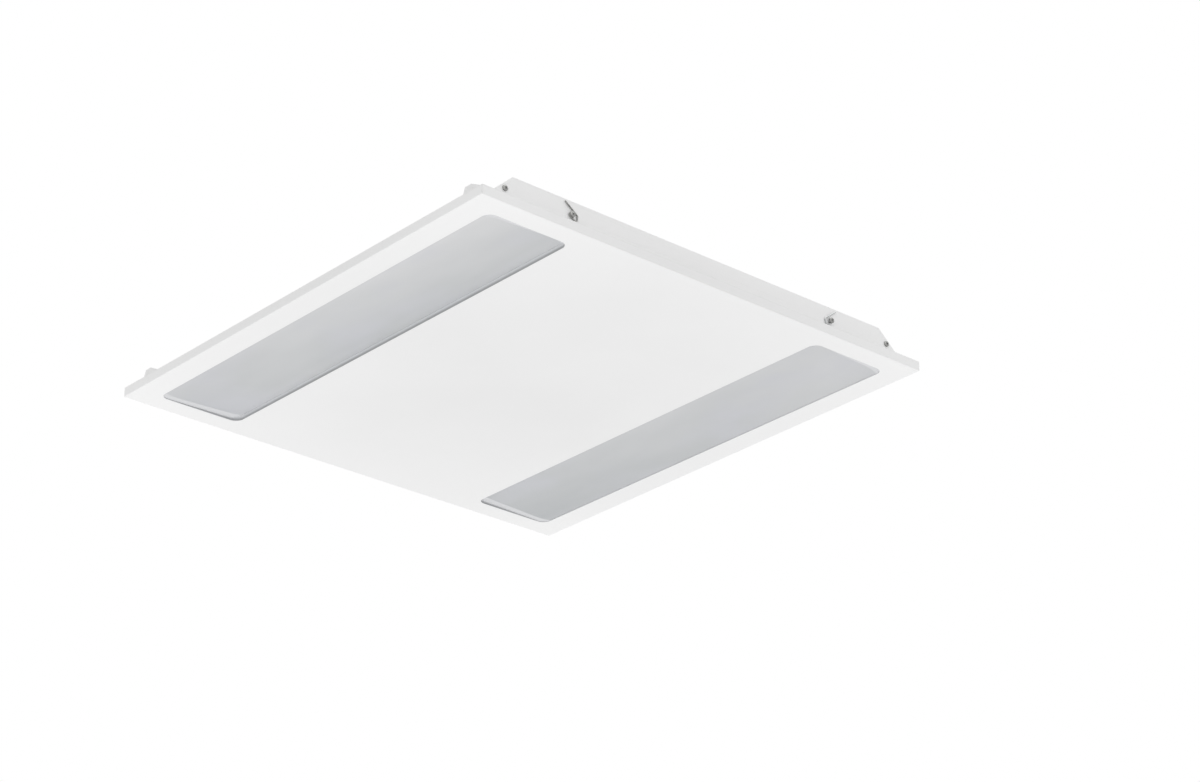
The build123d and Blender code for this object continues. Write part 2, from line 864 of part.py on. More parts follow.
def driver_terminal_piece(y, outward, ports, node):
    """Poke-in terminal in one end of the driver, with a round port for each lead."""
    with BuildPart() as terminal:
        with Locations((0, y - outward * (terminal_length / 2 - sheet), terminal_z)):
            Box(terminal_width, terminal_length, terminal_height, align=upright)
        fillet(terminal.edges().filter_by(Axis.Z), radius=tight_bend)
        with Locations(*[(x, y + outward * sheet, port_z) for x in ports]):
            Cylinder(lead_radius + fit, terminal_length, rotation=(90, 0, 0), mode=Mode.SUBTRACT)
    save(terminal, node)


driver_terminal_piece(input_y, -1, input_ports, "driver_input_terminal")
driver_terminal_piece(output_y, 1, output_ports, "driver_output_terminal")

# Screws that hang the driver from the back, and their nuts on top of it
with BuildPart() as driver_screws:
    with BuildSketch(Plane.XY.offset(ceiling - sheet)):
        with Locations(*ear_places):
            Circle(driver_screw_head)
    extrude(amount=-screw_head_height)
    with BuildSketch(Plane.XY.offset(ceiling - sheet)):
        with Locations(*ear_places):
            Circle(driver_screw_radius)
    extrude(amount=2 * sheet + nut_height + tight_bend)
save(driver_screws, "driver_screws")
with BuildPart() as driver_nuts:
    with BuildSketch(Plane.XY.offset(housing_top)):
        with Locations(*ear_places):
            RegularPolygon(nut_across / 2, 6, major_radius=False)
            Circle(driver_screw_radius + thread_clearance, mode=Mode.SUBTRACT)
    extrude(amount=nut_height)
save(driver_nuts, "driver_nuts")

bush_x = block_x - block_length / 2 - bush_width / 2 - bush_lip
bush_z = block_bottom + lead_z
bay_wall_y = bay_y + bay_length / 2

# Terminal bay: a pan hung under the back, open at the top, with a flange round its mouth
with BuildPart() as terminal_bay:
    with Locations((0, bay_y, bay_floor)):
        Box(bay_width, bay_length, bay_depth, align=upright)
    fillet(terminal_bay.edges().filter_by(Axis.Z), radius=bay_corner)
    fillet(terminal_bay.faces().sort_by(Axis.Z)[0].edges(), radius=bend)
    offset(amount=-sheet, openings=terminal_bay.faces().sort_by(Axis.Z)[-1])
    with BuildSketch(Plane.XY.offset(ceiling)):
        with Locations((0, bay_y)):
            RectangleRounded(
                bay_width + 2 * bay_flange, bay_length + 2 * bay_flange, bay_corner + bay_flange
            )
            RectangleRounded(
                bay_width - sheet, bay_length - sheet, bay_corner - sheet / 2, mode=Mode.SUBTRACT
            )
        with Locations(*bay_rivet_places, *ear_rivet_places):
            Circle(bay_rivet_radius + fit, mode=Mode.SUBTRACT)
    extrude(amount=-sheet)
    with BuildSketch(Plane.XZ.offset(-bay_wall_y)):
        with Locations((bush_x, bush_z)):
            SlotOverall(bush_width, bush_height)
    extrude(amount=sheet, mode=Mode.SUBTRACT)
save(terminal_bay, "terminal_bay")

# Rivets through the bay's flange, the back and the hinge ears' feet
with BuildPart() as bay_rivets:
    ear_rivets_top = housing_top + ear_foot_thickness
    for places, top in ((bay_rivet_places, housing_top), (ear_rivet_places, ear_rivets_top)):
        with Locations(*[(x, y, ceiling - sheet - rivet_head_height) for x, y in places]):
            Cylinder(bay_rivet_head, rivet_head_height, align=upright)
        with Locations(*[(x, y, ceiling - sheet) for x, y in places]):
            Cylinder(bay_rivet_radius, top - ceiling + sheet, align=upright)
        with Locations(*[(x, y, top) for x, y in places]):
            Cylinder(bay_rivet_head, rivet_head_height, align=upright)
    fillet(bay_rivets.faces().group_by(Axis.Z)[-1].edges(), radius=tight_bend)
save(bay_rivets, "bay_rivets")

# Bush in the bay's wall, where the supply leads pass to the driver
with BuildPart() as bay_bush:
    with BuildSketch(Plane.XZ.offset(-bay_wall_y - bush_lip)):
        with Locations((bush_x, bush_z)):
            SlotOverall(bush_width + 2 * bush_lip, bush_height + 2 * bush_lip)
    extrude(amount=bush_lip)
    with BuildSketch(Plane.XZ.offset(-bay_wall_y)):
        with Locations((bush_x, bush_z)):
            SlotOverall(bush_width - 2 * fit, bush_height - 2 * fit)
    extrude(amount=sheet)
    with BuildSketch(Plane.XZ.offset(-bay_wall_y + sheet)):
        with Locations((bush_x, bush_z)):
            SlotOverall(bush_width + bush_lip, bush_height + bush_lip)
    extrude(amount=bush_wall)
    with BuildSketch(Plane.XZ.offset(-bay_wall_y - bush_lip)):
        with Locations((bush_x, bush_z)):
            SlotOverall(bush_width - 2 * bush_wall, bush_height - 2 * bush_wall)
    extrude(amount=2 * bush_lip + bush_wall + sheet, mode=Mode.SUBTRACT)
save(bay_bush, "bay_bush")

# Cable inlet: a rubber grommet in the back, over the bay
with BuildPart() as cable_inlet:
    with Locations((inlet_x, bay_y, ceiling - inlet_lip_height)):
        Cylinder(inlet_radius + inlet_wall + inlet_lip, inlet_lip_height, align=upright)
    with Locations((inlet_x, bay_y, ceiling)):
        Cylinder(inlet_radius + inlet_wall - fit, sheet, align=upright)
    with Locations((inlet_x, bay_y, housing_top)):
        Cylinder(inlet_radius + inlet_wall + inlet_lip, inlet_lip_height, align=upright)
    outer_rims = cable_inlet.faces().filter_by(Axis.Z).sort_by(Axis.Z)
    fillet([outer_rims[0].edges()[0], outer_rims[-1].edges()[0]], radius=inlet_lip_height / 2)
    with Locations((inlet_x, bay_y, housing_top)):
        Cylinder(inlet_radius, 4 * inlet_lip_height, mode=Mode.SUBTRACT)
save(cable_inlet, "cable_inlet")

pole_ys = [bay_y + (step - (pole_count - 1) / 2) * pole_pitch for step in range(pole_count)]
block_left = block_x - block_length / 2
block_right = block_x + block_length / 2
button_x = block_right - button_inset
button_top = block_top + button_proud

# Terminal block: push-in ports on one side, ports for the luminaire's leads on the other
with BuildPart() as terminal_block:
    with Locations((block_x, bay_y, block_bottom)):
        Box(block_length, block_width, block_height, align=upright)
    fillet(terminal_block.faces().sort_by(Axis.Z)[-1].edges(), radius=tight_bend)
    with Locations(*[(block_right, y, block_bottom + wire_hole_z) for y in pole_ys]):
        Cylinder(wire_hole_radius, 2 * wire_hole_depth, rotation=(0, 90, 0), mode=Mode.SUBTRACT)
    with Locations(*[(block_left, y, block_bottom + lead_z) for y in pole_ys]):
        Cylinder(lead_radius + fit, wire_hole_depth, rotation=(0, 90, 0), mode=Mode.SUBTRACT)
    with Locations(*[(button_x, y, block_top) for y in pole_ys]):
        Box(
            button_length + 2 * button_clearance,
            button_width + 2 * button_clearance,
            button_height - button_proud + button_travel + button_clearance,
            align=hanging,
            mode=Mode.SUBTRACT,
        )
save(terminal_block, "terminal_block")

# Release buttons, one over each pole
for number, pole_y in enumerate(pole_ys, start=1):
    with BuildPart() as release_button:
        with Locations((button_x, pole_y, button_top)):
            Box(button_length, button_width, button_height, align=hanging)
        fillet(release_button.faces().sort_by(Axis.Z)[-1].edges(), radius=tight_bend)
        with Locations((button_x, pole_y, button_top)):
            Box(button_length / 2, sheet, button_travel, mode=Mode.SUBTRACT)
    save(release_button, f"release_button_{number}")

lid_width = opening_width + 2 * lid_lap
lid_front = bay_y - opening_length / 2 - lid_lap
lid_back = hinge_y - knuckle_radius - ear_gap
lid_bottom = housing_top + lid_gap
knuckle_places = [opening_x - knuckle_spacing / 2, opening_x + knuckle_spacing / 2]

# Terminal lid: flat sheet with two rolled knuckles and a snap tongue at its front
with BuildPart() as terminal_lid:
    with BuildSketch(Plane.XY.offset(lid_bottom)):
        with Locations((opening_x, (lid_front + lid_back) / 2)):
            RectangleRounded(lid_width, lid_back - lid_front, bay_corner)
        with Locations(*[(x, (lid_back - lid_lap + hinge_y) / 2) for x in knuckle_places]):
            Rectangle(knuckle_length, hinge_y - lid_back + lid_lap)
    extrude(amount=sheet)
    for x in knuckle_places:
        with Locations((x, hinge_y, hinge_z)):
            Cylinder(knuckle_radius, knuckle_length, rotation=(0, 90, 0))
            Cylinder(pin_radius + knuckle_clearance, lid_width, rotation=(0, 90, 0), mode=Mode.SUBTRACT)
    with Locations((opening_x, lid_front + lid_lap + snap_gap, lid_bottom)):
        Box(
            snap_width,
            sheet,
            snap_depth,
            align=(Align.CENTER, Align.MIN, Align.MAX),
        )
save(terminal_lid, "terminal_lid")

# Pin through the knuckles
with BuildPart() as lid_pin:
    with Locations((opening_x, hinge_y, hinge_z)):
        Cylinder(pin_radius, 2 * (ear_reach + ear_thickness + pin_proud), rotation=(0, 90, 0))
    chamfer(lid_pin.edges().filter_by(GeomType.CIRCLE), length=tight_bend / 2)
save(lid_pin, "lid_pin")

# Ears that hold the pin, each on a foot turned away from the lid
with BuildPart() as right_ear:
    ear_plane = Plane.YZ.offset(opening_x + ear_reach)
    with BuildSketch(ear_plane):
        with BuildLine():
            Polyline(
                (hinge_y - knuckle_radius, housing_top),
                (hinge_y - knuckle_radius, hinge_z),
                (hinge_y + knuckle_radius, hinge_z),
                (hinge_y - knuckle_radius + ear_foot_length, housing_top),
                close=True,
            )
        make_face()
        with Locations((hinge_y, hinge_z)):
            Circle(knuckle_radius)
            Circle(pin_radius + ear_clearance, mode=Mode.SUBTRACT)
    extrude(amount=ear_thickness)
    with BuildSketch(Plane.XY.offset(housing_top)):
        with Locations((opening_x + ear_reach, hinge_y - knuckle_radius)):
            Rectangle(ear_foot, ear_foot_length, align=(Align.MIN, Align.MIN))
        with Locations(ear_rivet_places[1]):
            Circle(bay_rivet_radius + fit, mode=Mode.SUBTRACT)
    extrude(amount=ear_foot_thickness)
ear_mirror = Plane.YZ.offset(opening_x)
with BuildPart() as lid_hinge_ears:
    add(right_ear.part)
    mirror(right_ear.part, about=ear_mirror)
save(lid_hinge_ears, "lid_hinge_ears")

earth_y = pole_ys[0]

# Earth stud welded to the bay's floor, with its nut
with BuildPart() as earth_stud:
    with Locations((earth_x, earth_y, block_bottom)):
        Cylinder(thread_radius, earth_stud_length, align=upright)
save(earth_stud, "earth_stud")
with BuildPart() as earth_nut:
    with BuildSketch(Plane.XY.offset(block_bottom + earth_ring_thickness)):
        with Locations((earth_x, earth_y)):
            RegularPolygon(nut_across / 2, 6, major_radius=False)
            Circle(thread_radius + thread_clearance, mode=Mode.SUBTRACT)
    extrude(amount=nut_height)
save(earth_nut, "earth_nut")


def arc_radii(points):
    """A radius for each inner corner of a route, as large as its two runs allow."""
    places = [Vector(*point) for point in points]
    radii = []
    for before, corner, after in zip(places, places[1:], places[2:]):
        turn = math.radians((corner - before).get_angle(after - corner))
        shorter = min((corner - before).length, (after - corner).length)
        radii.append(lead_arc_share * shorter / math.tan(turn / 2))
    return radii


def lead_along(points):
    """A lead swept along straight runs joined by tangent arcs."""
    with BuildPart() as lead:
        with BuildLine() as route:
            FilletPolyline(*points, radius=arc_radii(points))
        with BuildSketch(Plane(origin=route.line @ 0, z_dir=route.line % 0)):
            Circle(lead_radius)
        sweep(path=route.line)
    return lead


lead_start_x = block_left + wire_hole_depth / 2 - fit
block_lead_z = block_bottom + lead_z
input_reach = input_y + terminal_length / 2 - sheet - fit
live_turn_x = bush_x + lead_turn / 2
neutral_turn_x = bush_x - lead_turn / 2

# Supply leads from the block through the bush to the driver
live_lead = lead_along(
    [
        (lead_start_x, pole_ys[2], block_lead_z),
        (live_turn_x, pole_ys[2], block_lead_z),
        (live_turn_x, bay_wall_y + lead_turn, block_lead_z),
        (input_ports[1], input_y - 3 * lead_turn, port_z),
        (input_ports[1], input_reach, port_z),
    ]
)
save(live_lead, "live_lead")
neutral_lead = lead_along(
    [
        (lead_start_x, pole_ys[1], block_lead_z),
        (neutral_turn_x, pole_ys[1], block_lead_z),
        (neutral_turn_x, bay_wall_y + 2 * lead_turn, block_lead_z),
        (input_ports[0], input_y - 2 * lead_turn, port_z),
        (input_ports[0], input_reach, port_z),
    ]
)
save(neutral_lead, "neutral_lead")

ring_edge_x = earth_x + earth_ring_radius

# Earth lead with its crimped ring on the stud
earth_lead = lead_along(
    [
        (lead_start_x, earth_y, block_lead_z),
        (block_left - lead_turn, earth_y, block_lead_z),
        (ring_edge_x + lead_turn / 2, earth_y, block_bottom + lead_radius + fit),
        (ring_edge_x - sheet, earth_y, block_bottom + lead_radius + fit),
    ]
)
with BuildPart() as earth_lead_ring:
    add(earth_lead.part)
    with Locations((earth_x, earth_y, block_bottom)):
        Cylinder(earth_ring_radius, earth_ring_thickness, align=upright)
        Cylinder(thread_radius + thread_clearance, earth_stud_length, align=upright, mode=Mode.SUBTRACT)
save(earth_lead_ring, "earth_lead")

led_route = [
    (window_x + connector_width / 4 + fit, 0, connector_port_z),
    (window_x + led_lead_straight, 0, connector_port_z),
    (window_x + led_lead_bend_x, led_lead_bend_y, connector_port_z),
    (window_x + led_lead_far_x, output_y + led_lead_far_y, connector_port_z),
    (-led_lead_turn_x, output_y + led_lead_turn_y, port_z + led_lead_rise),
    (-led_port_pitch, output_y + led_lead_end, port_z),
    (-led_port_pitch, output_y - terminal_length / 2 + sheet + fit, port_z),
]


def beside(points, shift):
    """The route moved sideways by shift in the XY plane, its corners mitred."""
    moved = []
    for index, point in enumerate(points):
        before = points[max(index - 1, 0)]
        after = points[min(index + 1, len(points) - 1)]
        normals = []
        for start, end in ((before, point), (point, after)):
            run = Vector(end[0] - start[0], end[1] - start[1])
            if run.length > 0:
                normals.append(run.normalized().rotate(Axis.Z, 90))
        middle = sum(normals[1:], normals[0])
        step = middle * (2 * shift / middle.length ** 2) if len(normals) == 2 else middle * shift
        moved.append((point[0] + step.X, point[1] + step.Y, point[2]))
    return moved


# Pairs of leads from the driver to the board connectors
with BuildPart() as led_leads:
    for shift in led_port_steps:
        add(lead_along(beside(led_route, shift)).part)
both_sides(led_leads, "led_leads")

saddle_run = Vector(*led_route[3]) - Vector(*led_route[2])
saddle_middle = Vector(*led_route[2]) + saddle_run * saddle_share
saddle_angle = math.degrees(math.atan2(saddle_run.Y, saddle_run.X))

# Saddle clips that hold the pairs under the back
with BuildPart() as saddle:
    with BuildSketch(Plane(origin=(saddle_middle.X, saddle_middle.Y, ceiling), z_dir=(0, 0, 1))):
        Rectangle(saddle_length, 3 * led_port_pitch, rotation=saddle_angle)
    extrude(amount=-(ceiling - connector_port_z + 2 * lead_radius))
    with Locations(Location(saddle_middle, (0, 0, saddle_angle))):
        with Locations((0, led_port_pitch / 2, 0), (0, -led_port_pitch / 2, 0)):
            Cylinder(lead_radius + fit, 2 * saddle_length, rotation=(0, 90, 0), mode=Mode.SUBTRACT)
with BuildPart() as lead_clips:
    add(saddle.part)
    mirror(saddle.part, about=Plane.YZ)
save(lead_clips, "lead_clips")

# Rivet nuts in the back for suspension or a tether
with BuildPart() as suspension_nuts:
    with Locations((0, 0, housing_top)):
        with GridLocations(2 * rivnut_x, 2 * rivnut_y, 2, 2):
            Cylinder(rivnut_flange, rivnut_flange_height, align=upright)
            Cylinder(rivnut_radius, rivnut_length, align=hanging)
            Cylinder(rivnut_bore, 2 * (rivnut_length + rivnut_flange_height), mode=Mode.SUBTRACT)
save(suspension_nuts, "suspension_nuts")
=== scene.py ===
import math

import bpy
from mathutils import Matrix, Vector


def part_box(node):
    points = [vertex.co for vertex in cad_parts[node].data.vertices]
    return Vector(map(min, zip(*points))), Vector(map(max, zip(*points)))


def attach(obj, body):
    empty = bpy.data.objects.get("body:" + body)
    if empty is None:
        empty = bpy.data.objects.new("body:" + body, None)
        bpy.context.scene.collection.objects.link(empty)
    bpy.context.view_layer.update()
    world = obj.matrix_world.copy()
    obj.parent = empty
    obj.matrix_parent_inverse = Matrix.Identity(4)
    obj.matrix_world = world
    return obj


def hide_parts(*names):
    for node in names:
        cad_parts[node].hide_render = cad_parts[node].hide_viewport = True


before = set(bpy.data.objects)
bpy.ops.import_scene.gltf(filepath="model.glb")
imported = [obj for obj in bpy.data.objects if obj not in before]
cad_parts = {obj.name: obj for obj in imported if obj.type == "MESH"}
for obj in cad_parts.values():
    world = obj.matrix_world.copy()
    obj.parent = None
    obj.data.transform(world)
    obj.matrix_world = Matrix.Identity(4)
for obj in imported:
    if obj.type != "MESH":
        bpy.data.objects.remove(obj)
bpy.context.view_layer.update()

mm = 0.001
stripMiddle = 219.0 * mm  # of each lens and the light sources behind it, from the middle of the face
print("frame loaded,", len(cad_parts), "nodes")


# adds one node, sets its properties, then links or sets its inputs
def put(tree, kind, values=None, **settings):
    made = tree.nodes.new(kind)
    for key, value in settings.items():
        setattr(made, key, value)
    for key, value in (values or {}).items():
        if isinstance(value, bpy.types.NodeSocket):
            tree.links.new(value, made.inputs[key])
        else:
            made.inputs[key].default_value = value
    return made


def calc(tree, operation, first, second=0.0):
    return put(tree, "ShaderNodeMath", {0: first, 1: second}, operation=operation).outputs[0]


def plus(tree, first, second):
    return calc(tree, "ADD", first, second)


def minus(tree, first, second):
    return calc(tree, "SUBTRACT", first, second)


def times(tree, first, second):
    return calc(tree, "MULTIPLY", first, second)


# part of the second level laid over the first
def shared(tree, first, second, share):
    return plus(tree, times(tree, first, 1.0 - share), times(tree, second, share))


def vectorCalc(tree, operation, first, second=(0.0, 0.0, 0.0)):
    return put(tree, "ShaderNodeVectorMath", {0: first, 1: second}, operation=operation).outputs


def split(tree, vector):
    return put(tree, "ShaderNodeSeparateXYZ", {0: vector}).outputs


# a colour written as it looks on screen, 0 to 255
def paint(red, green, blue):
    linear = [((c / 255 + 0.055) / 1.055) ** 2.4 if c > 10 else c / 255 / 12.92 for c in (red, green, blue)]
    return (*linear, 1.0)


def noise(tree, place, scale, detail=2.0, roughness=0.5):
    values = {"Vector": place, "Scale": scale, "Detail": detail, "Roughness": roughness}
    return put(tree, "ShaderNodeTexNoise", values).outputs[0]


# noise that is stretched, so that its grain runs one way
def grain(tree, place, scales, detail=2.0, roughness=0.5):
    stretched = put(tree, "ShaderNodeMapping", {"Vector": place, "Scale": scales}).outputs[0]
    return noise(tree, stretched, 1.0, detail, roughness)


def remap(tree, level, fromLow, fromHigh, toLow, toHigh):
    values = {"Value": level, "From Min": fromLow, "From Max": fromHigh, "To Min": toLow, "To Max": toHigh}
    return put(tree, "ShaderNodeMapRange", values).outputs[0]


# spreads the middle of a noise over a range of roughness
def spread(tree, level, limits):
    return remap(tree, level, 0.3, 0.7, *limits)


def ramp(tree, level, stops):
    made = put(tree, "ShaderNodeValToRGB", {"Fac": level})
    bar = made.color_ramp
    while len(bar.elements) < len(stops):
        bar.elements.new(0.5)
    for element, (position, colour) in zip(bar.elements, stops):
        element.position = position
        element.color = colour
    return made.outputs["Color"]


# the dark and the light tone of a finish, along the middle of a noise
def tones(tree, level, look):
    return ramp(tree, level, [(0.3, look["dark"]), (0.7, look["light"])])


def mixColour(tree, factor, first, second):
    return put(tree, "ShaderNodeMix", {0: factor, 6: first, 7: second}, data_type="RGBA").outputs[2]


def bump(tree, height, distance, strength=1.0, under=None):
    values = {"Height": height, "Distance": distance, "Strength": strength}
    if under:
        values["Normal"] = under
    return put(tree, "ShaderNodeBump", values).outputs[0]


def flatFacing(tree):
    return put(tree, "ShaderNodeNewGeometry").outputs["True Normal"]


# 0 on the flats and up to 1 along folded or cut edges, and the normal that is softened there
def edgeLevel(tree, radius):
    softened = put(tree, "ShaderNodeBevel", {"Radius": radius}, samples=4).outputs[0]
    together = vectorCalc(tree, "DOT_PRODUCT", softened, flatFacing(tree))["Value"]
    return remap(tree, together, 0.995, 0.8, 0.0, 1.0), softened


def newFinish(name, metallic=0.0, ior=1.5):
    finish = bpy.data.materials.new(name)
    finish.use_nodes = True
    tree = finish.node_tree
    shader = tree.nodes["Principled BSDF"]
    shader.inputs["Metallic"].default_value = metallic
    shader.inputs["IOR"].default_value = ior
    place = put(tree, "ShaderNodeTexCoord").outputs["Object"]
    return finish, tree, shader, place


def dress(tree, shader, colour, rough, normal):
    for name, value in (("Base Color", colour), ("Roughness", rough), ("Normal", normal)):
        tree.links.new(value, shader.inputs[name])


powder = {
    # the outer light tone is painted light, lighter than the coat away from the middle
    "light": paint(240, 240, 240), "dark": paint(236, 236, 236), "outerLightTone": paint(248, 248, 248),
    "edge": paint(230, 230, 229), "dust": paint(206, 203, 197),
    "drift": 5.0,                # scale of the slow change in tone
    "outerLightReach": 0.16,          # square of the distance in metres at which the painted light, a lighter tone away from the middle, is full
    "edgeRadius": 0.5 * mm, "edgeShare": 0.35,
    "peel": 0.9 * mm, "peelHeight": 0.012 * mm,
    "grains": 6000.0, "grainHeight": 0.004 * mm,
    "rough": (0.38, 0.47), "dustRough": 0.15,
    "dustScale": 24.0, "dustShare": (0.05, 0.26),
}
facePowder = {
    **powder,
    # painted shade on the walls round the lenses, in tones from the face's edge to the lens
    "recess": [(0.0, paint(186, 187, 188)), (0.3, paint(176, 177, 179)), (0.5, paint(204, 205, 207)),
               (0.75, paint(232, 233, 235)), (1.0, paint(244, 245, 246))],
    "recessLow": 1.0 * mm, "recessHigh": 5.6 * mm,      # depth of the lens at its outer and inner edge
    "recessReach": 51.0 * mm, "recessEnd": 273.5 * mm,  # half the window's width and length, with its walls
    "recessStart": (0.05 * mm, 0.3 * mm),               # heights between which the tones set in
}
endPowder = {
    **powder, "light": paint(250, 250, 250), "dark": paint(248, 248, 248), "outerLightTone": paint(251, 251, 251),
}
troughPowder = {
    **powder, "light": paint(243, 243, 241), "dark": paint(238, 238, 236), "outerLightTone": paint(243, 243, 241),
    "edge": paint(230, 230, 228), "dust": paint(222, 220, 214), "peel": 0.5 * mm, "peelHeight": 0.006 * mm,
}


# 1 on the walls round the lenses, where the shade is painted, and the height on them as a share of the lens's
# own
def recessShadeLevel(tree, look, place):
    reach = look["recessReach"]
    at = split(tree, place)
    inward = minus(tree, calc(tree, "ABSOLUTE", at["X"]), stripMiddle)
    within = calc(tree, "LESS_THAN", calc(tree, "ABSOLUTE", inward), reach)
    ending = calc(tree, "LESS_THAN", calc(tree, "ABSOLUTE", at["Y"]), look["recessEnd"])
    flatness = calc(tree, "ABSOLUTE", split(tree, flatFacing(tree))["Z"])
    upright = remap(tree, flatness, 0.3, 0.7, 1.0, 0.0)
    walls = times(tree, times(tree, within, ending), upright)
    depth = remap(tree, inward, reach, -reach, look["recessLow"], look["recessHigh"])
    started = remap(tree, at["Z"], *look["recessStart"], 0.0, 1.0)
    return times(tree, walls, started), calc(tree, "DIVIDE", at["Z"], depth)


# powder coat: orange peel, fine grains, painted light that makes the tone lighter away from the middle of the
# piece, a darker tone along folds, edges and creases, painted shade on the walls round the lenses where the
# look has them, dust where it faces up
def powderCoat(name, look):
    finish, tree, shader, place = newFinish(name)
    peel = noise(tree, place, 1 / look["peel"], 1.5)
    grains = noise(tree, place, look["grains"], 1.0)
    driftTone = tones(tree, noise(tree, place, look["drift"], 3.0), look)
    # painted light: the tone grows lighter away from the piece's middle
    reach = vectorCalc(tree, "LENGTH", place)["Value"]
    outerLight = remap(tree, calc(tree, "POWER", reach, 2.0), 0.0, look["outerLightReach"], 0.0, 1.0)
    base = mixColour(tree, outerLight, driftTone, look["outerLightTone"])
    # a darker tone along every fold, cut edge and crease that the bevel finds
    edges, softened = edgeLevel(tree, look["edgeRadius"])
    edgeTone = mixColour(tree, times(tree, edges, look["edgeShare"]), base, look["edge"])
    lying = remap(tree, split(tree, flatFacing(tree))["Z"], 0.7, 1.0, 0.0, 1.0)
    settled = remap(tree, noise(tree, place, look["dustScale"], 6.0, 0.6), 0.3, 0.75, *look["dustShare"])
    colour = mixColour(tree, times(tree, lying, settled), edgeTone, look["dust"])
    # painted shade on the walls round the lenses
    if "recess" in look:
        walls, share = recessShadeLevel(tree, look, place)
        colour = mixColour(tree, walls, colour, ramp(tree, share, look["recess"]))
    rough = plus(tree, spread(tree, peel, look["rough"]), times(tree, lying, look["dustRough"]))
    fine = bump(tree, grains, look["grainHeight"], 0.5, softened)
    dress(tree, shader, colour, rough, bump(tree, peel, look["peelHeight"], 1.0, fine))
    return finish


lensLook = {
    "light": paint(222, 222, 223), "deep": paint(183, 186, 188), "cloud": paint(202, 203, 209),
    # painted highlight on the bevels at the lens's ends
    "bevel": paint(220, 221, 223), "ior": 1.49,
    "width": 101.0 * mm, "length": 546.0 * mm,
    # shares of the deep tone, painted shade that grows across and along each lens, in the left lens and in
    # the right one
    "start": (0.1, 0.3), "across": (0.74, 0.25), "along": (0.46, 0.38), "farCorner": (-0.5, 0.0),
    "pale": (0.24, 0.0), "paleFrom": 0.82, "paleTo": 0.98,     # painted light, taking the deep tone off again along the inner edge
    "milk": (14.0, 5.0, 14.0), "milkShare": 0.6,
    # streaky clouds of painted reflection, in the cloud tone
    "cloudReflections": (12.0, 7.0, 12.0), "cloudRange": (0.48, 0.7), "cloudShare": 0.6,
    "bevelStart": 266.0 * mm, "bevelSoftness": 1.5 * mm, "bevelRounding": 5.0 * mm, "bevelGloss": 0.12,
    "grain": 0.35 * mm, "grainHeight": 0.01 * mm,
    "rough": (0.32, 0.4), "roughScale": 60.0,
}


# satin diffuser: milky, with painted shade that deepens its tone across and along its length, painted light
# along its inner edge, streaky clouds of painted reflection, and a painted highlight on the glossier bevels
# at its ends
def frostedLens(name, look):
    finish, tree, shader, place = newFinish(name, ior=look["ior"])
    at = split(tree, place)
    side = calc(tree, "SIGN", at["X"])
    right = remap(tree, side, -1.0, 1.0, 0.0, 1.0)

    # a value for the left lens and one for the right
    def either(pair):
        return remap(tree, right, 0.0, 1.0, *pair)

    across = minus(tree, at["X"], times(tree, side, stripMiddle))
    wideShare = remap(tree, across, -look["width"] / 2, look["width"] / 2, 0.0, 1.0)
    longShare = remap(tree, at["Y"], -look["length"] / 2, look["length"] / 2, 0.0, 1.0)
    both = times(tree, wideShare, longShare)
    # painted shade: the deep tone grows across the lens, along it and towards its far corner
    level = either(look["start"])
    for share, key in ((wideShare, "across"), (longShare, "along"), (both, "farCorner")):
        level = plus(tree, level, times(tree, share, either(look[key])))
    # painted light along the inner edge, against the shade the wall there casts
    inner = remap(tree, wideShare, look["paleFrom"], look["paleTo"], 0.0, 1.0)
    level = minus(tree, level, times(tree, inner, either(look["pale"])))
    milk = minus(tree, grain(tree, place, look["milk"], 3.0), 0.5)
    level = plus(tree, level, times(tree, milk, look["milkShare"]))
    base = ramp(tree, level, [(0.0, look["light"]), (1.0, look["deep"])])
    # streaky clouds of painted reflection, in a blue-grey tone
    cloudReflections = grain(tree, place, look["cloudReflections"], 3.0)
    cloudReflections = remap(tree, cloudReflections, *look["cloudRange"], 0.0, look["cloudShare"])
    tinted = mixColour(tree, cloudReflections, base, look["cloud"])
    # painted highlight on the bevels at the ends, which are glossier too
    edging = calc(tree, "DIVIDE", calc(tree, "ABSOLUTE", across), look["width"] / 2)
    rounding = times(tree, calc(tree, "POWER", edging, 8.0), look["bevelRounding"])
    reach = plus(tree, calc(tree, "ABSOLUTE", at["Y"]), rounding)
    bevel = remap(tree, reach, look["bevelStart"], look["bevelStart"] + look["bevelSoftness"], 0.0, 1.0)
    colour = mixColour(tree, bevel, tinted, look["bevel"])
    satin = spread(tree, noise(tree, place, look["roughScale"], 3.0), look["rough"])
    rough = minus(tree, satin, times(tree, bevel, look["bevelGloss"]))
    matt = noise(tree, place, 1 / look["grain"])
    dress(tree, shader, colour, rough, bump(tree, matt, look["grainHeight"]))
    return finish


# what all the metals share
metal = {
    "edge": 0.25 * mm, "edgeShare": 0.4, "cloudShare": 0.4, "spangle": None, "flakeShare": 0.4,
    "strength": 0.7,
}


# plated, rolled or drawn metal: grain along one axis, cloudy plating, dulled patches
def metalFinish(name, look):
    finish, tree, shader, place = newFinish(name, metallic=1.0)
    drawn = grain(tree, place, look["grain"], 3.0, 0.6)
    cloudy = noise(tree, place, look["cloud"], 3.0)
    if look["spangle"]:
        cells = put(tree, "ShaderNodeTexVoronoi", {"Vector": place, "Scale": look["spangle"]})
        flake = put(tree, "ShaderNodeSeparateColor", {0: cells.outputs["Color"]}).outputs[0]
        cloudy = shared(tree, cloudy, flake, look["flakeShare"])
    edges, softened = edgeLevel(tree, look["edge"])
    # lighter along the edges, where the plating is worn
    colour = mixColour(tree, times(tree, edges, look["edgeShare"]), tones(tree, cloudy, look), look["edgeTone"])
    rough = spread(tree, shared(tree, drawn, cloudy, look["cloudShare"]), look["rough"])
    dress(tree, shader, colour, rough, bump(tree, drawn, look["height"], look["strength"], softened))
    return finish


